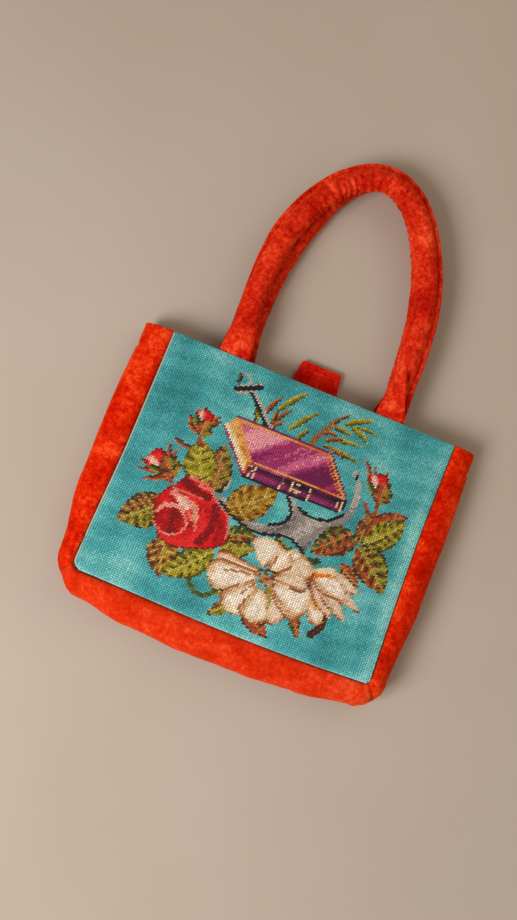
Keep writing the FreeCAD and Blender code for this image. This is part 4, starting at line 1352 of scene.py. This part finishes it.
def sewn_line(name, lines, step, radius, body):
    """Rows of short thread stitches along straight lines."""
    points, faces = [], []
    sides = 6
    for line in lines:
        start, end = np.array(line[0]), np.array(line[1])
        length = np.linalg.norm(end - start)
        way = (end - start) / length
        side = unit(np.cross(way, (0, 0, 1)))
        up = np.cross(side, way)
        for k in range(int(length / step)):
            middle = start + way * (k + 0.5) * step
            base = len(points)
            for along, width in ((-0.40, 0.35), (-0.24, 1.0), (0.24, 1.0), (0.40, 0.35)):
                for a in np.linspace(0, 2 * math.pi, sides, endpoint=False):
                    ring = side * math.cos(a) + up * math.sin(a)
                    points.append(middle + way * along * step + ring * radius * width)
            faces += grid_faces(4, sides, base, True)
            faces.append(tuple(base + i for i in reversed(range(sides))))
            faces.append(tuple(base + 3 * sides + i for i in range(sides)))
    dress(mesh_object(name, points, faces, THREAD), body)


# Carried-over pieces


def finish_frame_nodes():
    """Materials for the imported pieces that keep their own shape."""
    for names, material in (
        (("front_handle_left_tail", "front_handle_right_tail", "back_handle_left_tail",
          "back_handle_right_tail"), VELVET_HANDLE),
        # The tab's tail takes the same velvet painted darker, as painted shade.
        (("tab_tail",), VELVET_TAB_PAINTED_SHADE),
        (("snap_stud", "stud_washer", "snap_socket", "socket_washer"), NICKEL),
    ):
        for name in names:
            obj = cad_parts[name]
            obj.data.materials.clear()
            obj.data.materials.append(material)


# Stage

FLOOR_HALF = 2
SKY_COLOUR = (1.0, 0.86, 0.74, 1)
SKY_STRENGTH = 0.42
LIGHTS_AIM = Vector((0.0, 0.08, 0.02))
# Name, place, power in watts, width in metres and colour
LIGHTS = [
    ("key", (-0.95, -1.0, 1.25), 40, 0.9, (1.0, 0.98, 0.95)),
    ("fill", (0.9, 1.3, 1.4), 9, 1.4, (1.0, 0.74, 0.52)),
]
CAMERA_LENS = 35
CAMERA_SENSOR = 36
CAMERA_PLACE = Vector((-0.0586, -0.0675, 0.8940))
CAMERA_RIGHT = Vector((0.92675, 0.36735, 0.07871))
CAMERA_BACK = Vector((-0.03686, -0.1196, 0.99214))


def make_stage():
    """Floor, soft sky light, a large key light at the lower left and a warm fill opposite."""
    corners = [(FLOOR_HALF * a, FLOOR_HALF * b, 0) for a, b in ((-1, -1), (1, -1), (1, 1), (-1, 1))]
    floor = mesh_object("stage_floor", corners, [(0, 1, 2, 3)], plain_floor(), False)
    world = bpy.data.worlds.new("studio")
    world.use_nodes = True
    background = world.node_tree.nodes["Background"]
    background.inputs["Color"].default_value = SKY_COLOUR
    background.inputs["Strength"].default_value = SKY_STRENGTH
    bpy.context.scene.world = world
    bpy.context.scene.view_settings.view_transform = "Standard"
    for name, place, energy, across, colour in LIGHTS:
        data = bpy.data.lights.new(name, "AREA")
        data.energy = energy
        data.size = across
        data.color = colour
        lamp = bpy.data.objects.new(name, data)
        lamp.location = place
        lamp.rotation_euler = (LIGHTS_AIM - Vector(place)).to_track_quat("-Z", "Y").to_euler()
        bpy.context.collection.objects.link(lamp)


def make_camera():
    """The viewing angle of a person standing over the bag at its base, turned to the left."""
    data = bpy.data.cameras.new("camera")
    data.lens = CAMERA_LENS
    data.sensor_width = CAMERA_SENSOR
    camera = bpy.data.objects.new("camera", data)
    right = CAMERA_RIGHT.normalized()
    back = CAMERA_BACK.normalized()
    up = back.cross(right).normalized()
    right = up.cross(back)
    turn = Matrix((right, up, back)).transposed().to_4x4()
    camera.matrix_world = Matrix.Translation(CAMERA_PLACE) @ turn
    bpy.context.collection.objects.link(camera)
    bpy.context.scene.camera = camera


make_camera()
make_stage()
make_back_panel()
make_linings()
make_gusset()
make_gusset_lining()
make_ground()
make_needlepoint()
make_handle("front_handle", "front_handle", FRONT_HANDLE_LINE, 27.8, 29.8, 5, True)
make_handle("back_handle", "back_handle", BACK_HANDLE_LINE, 9.2, 3.0, 11, False)
make_tab()
finish_frame_nodes()
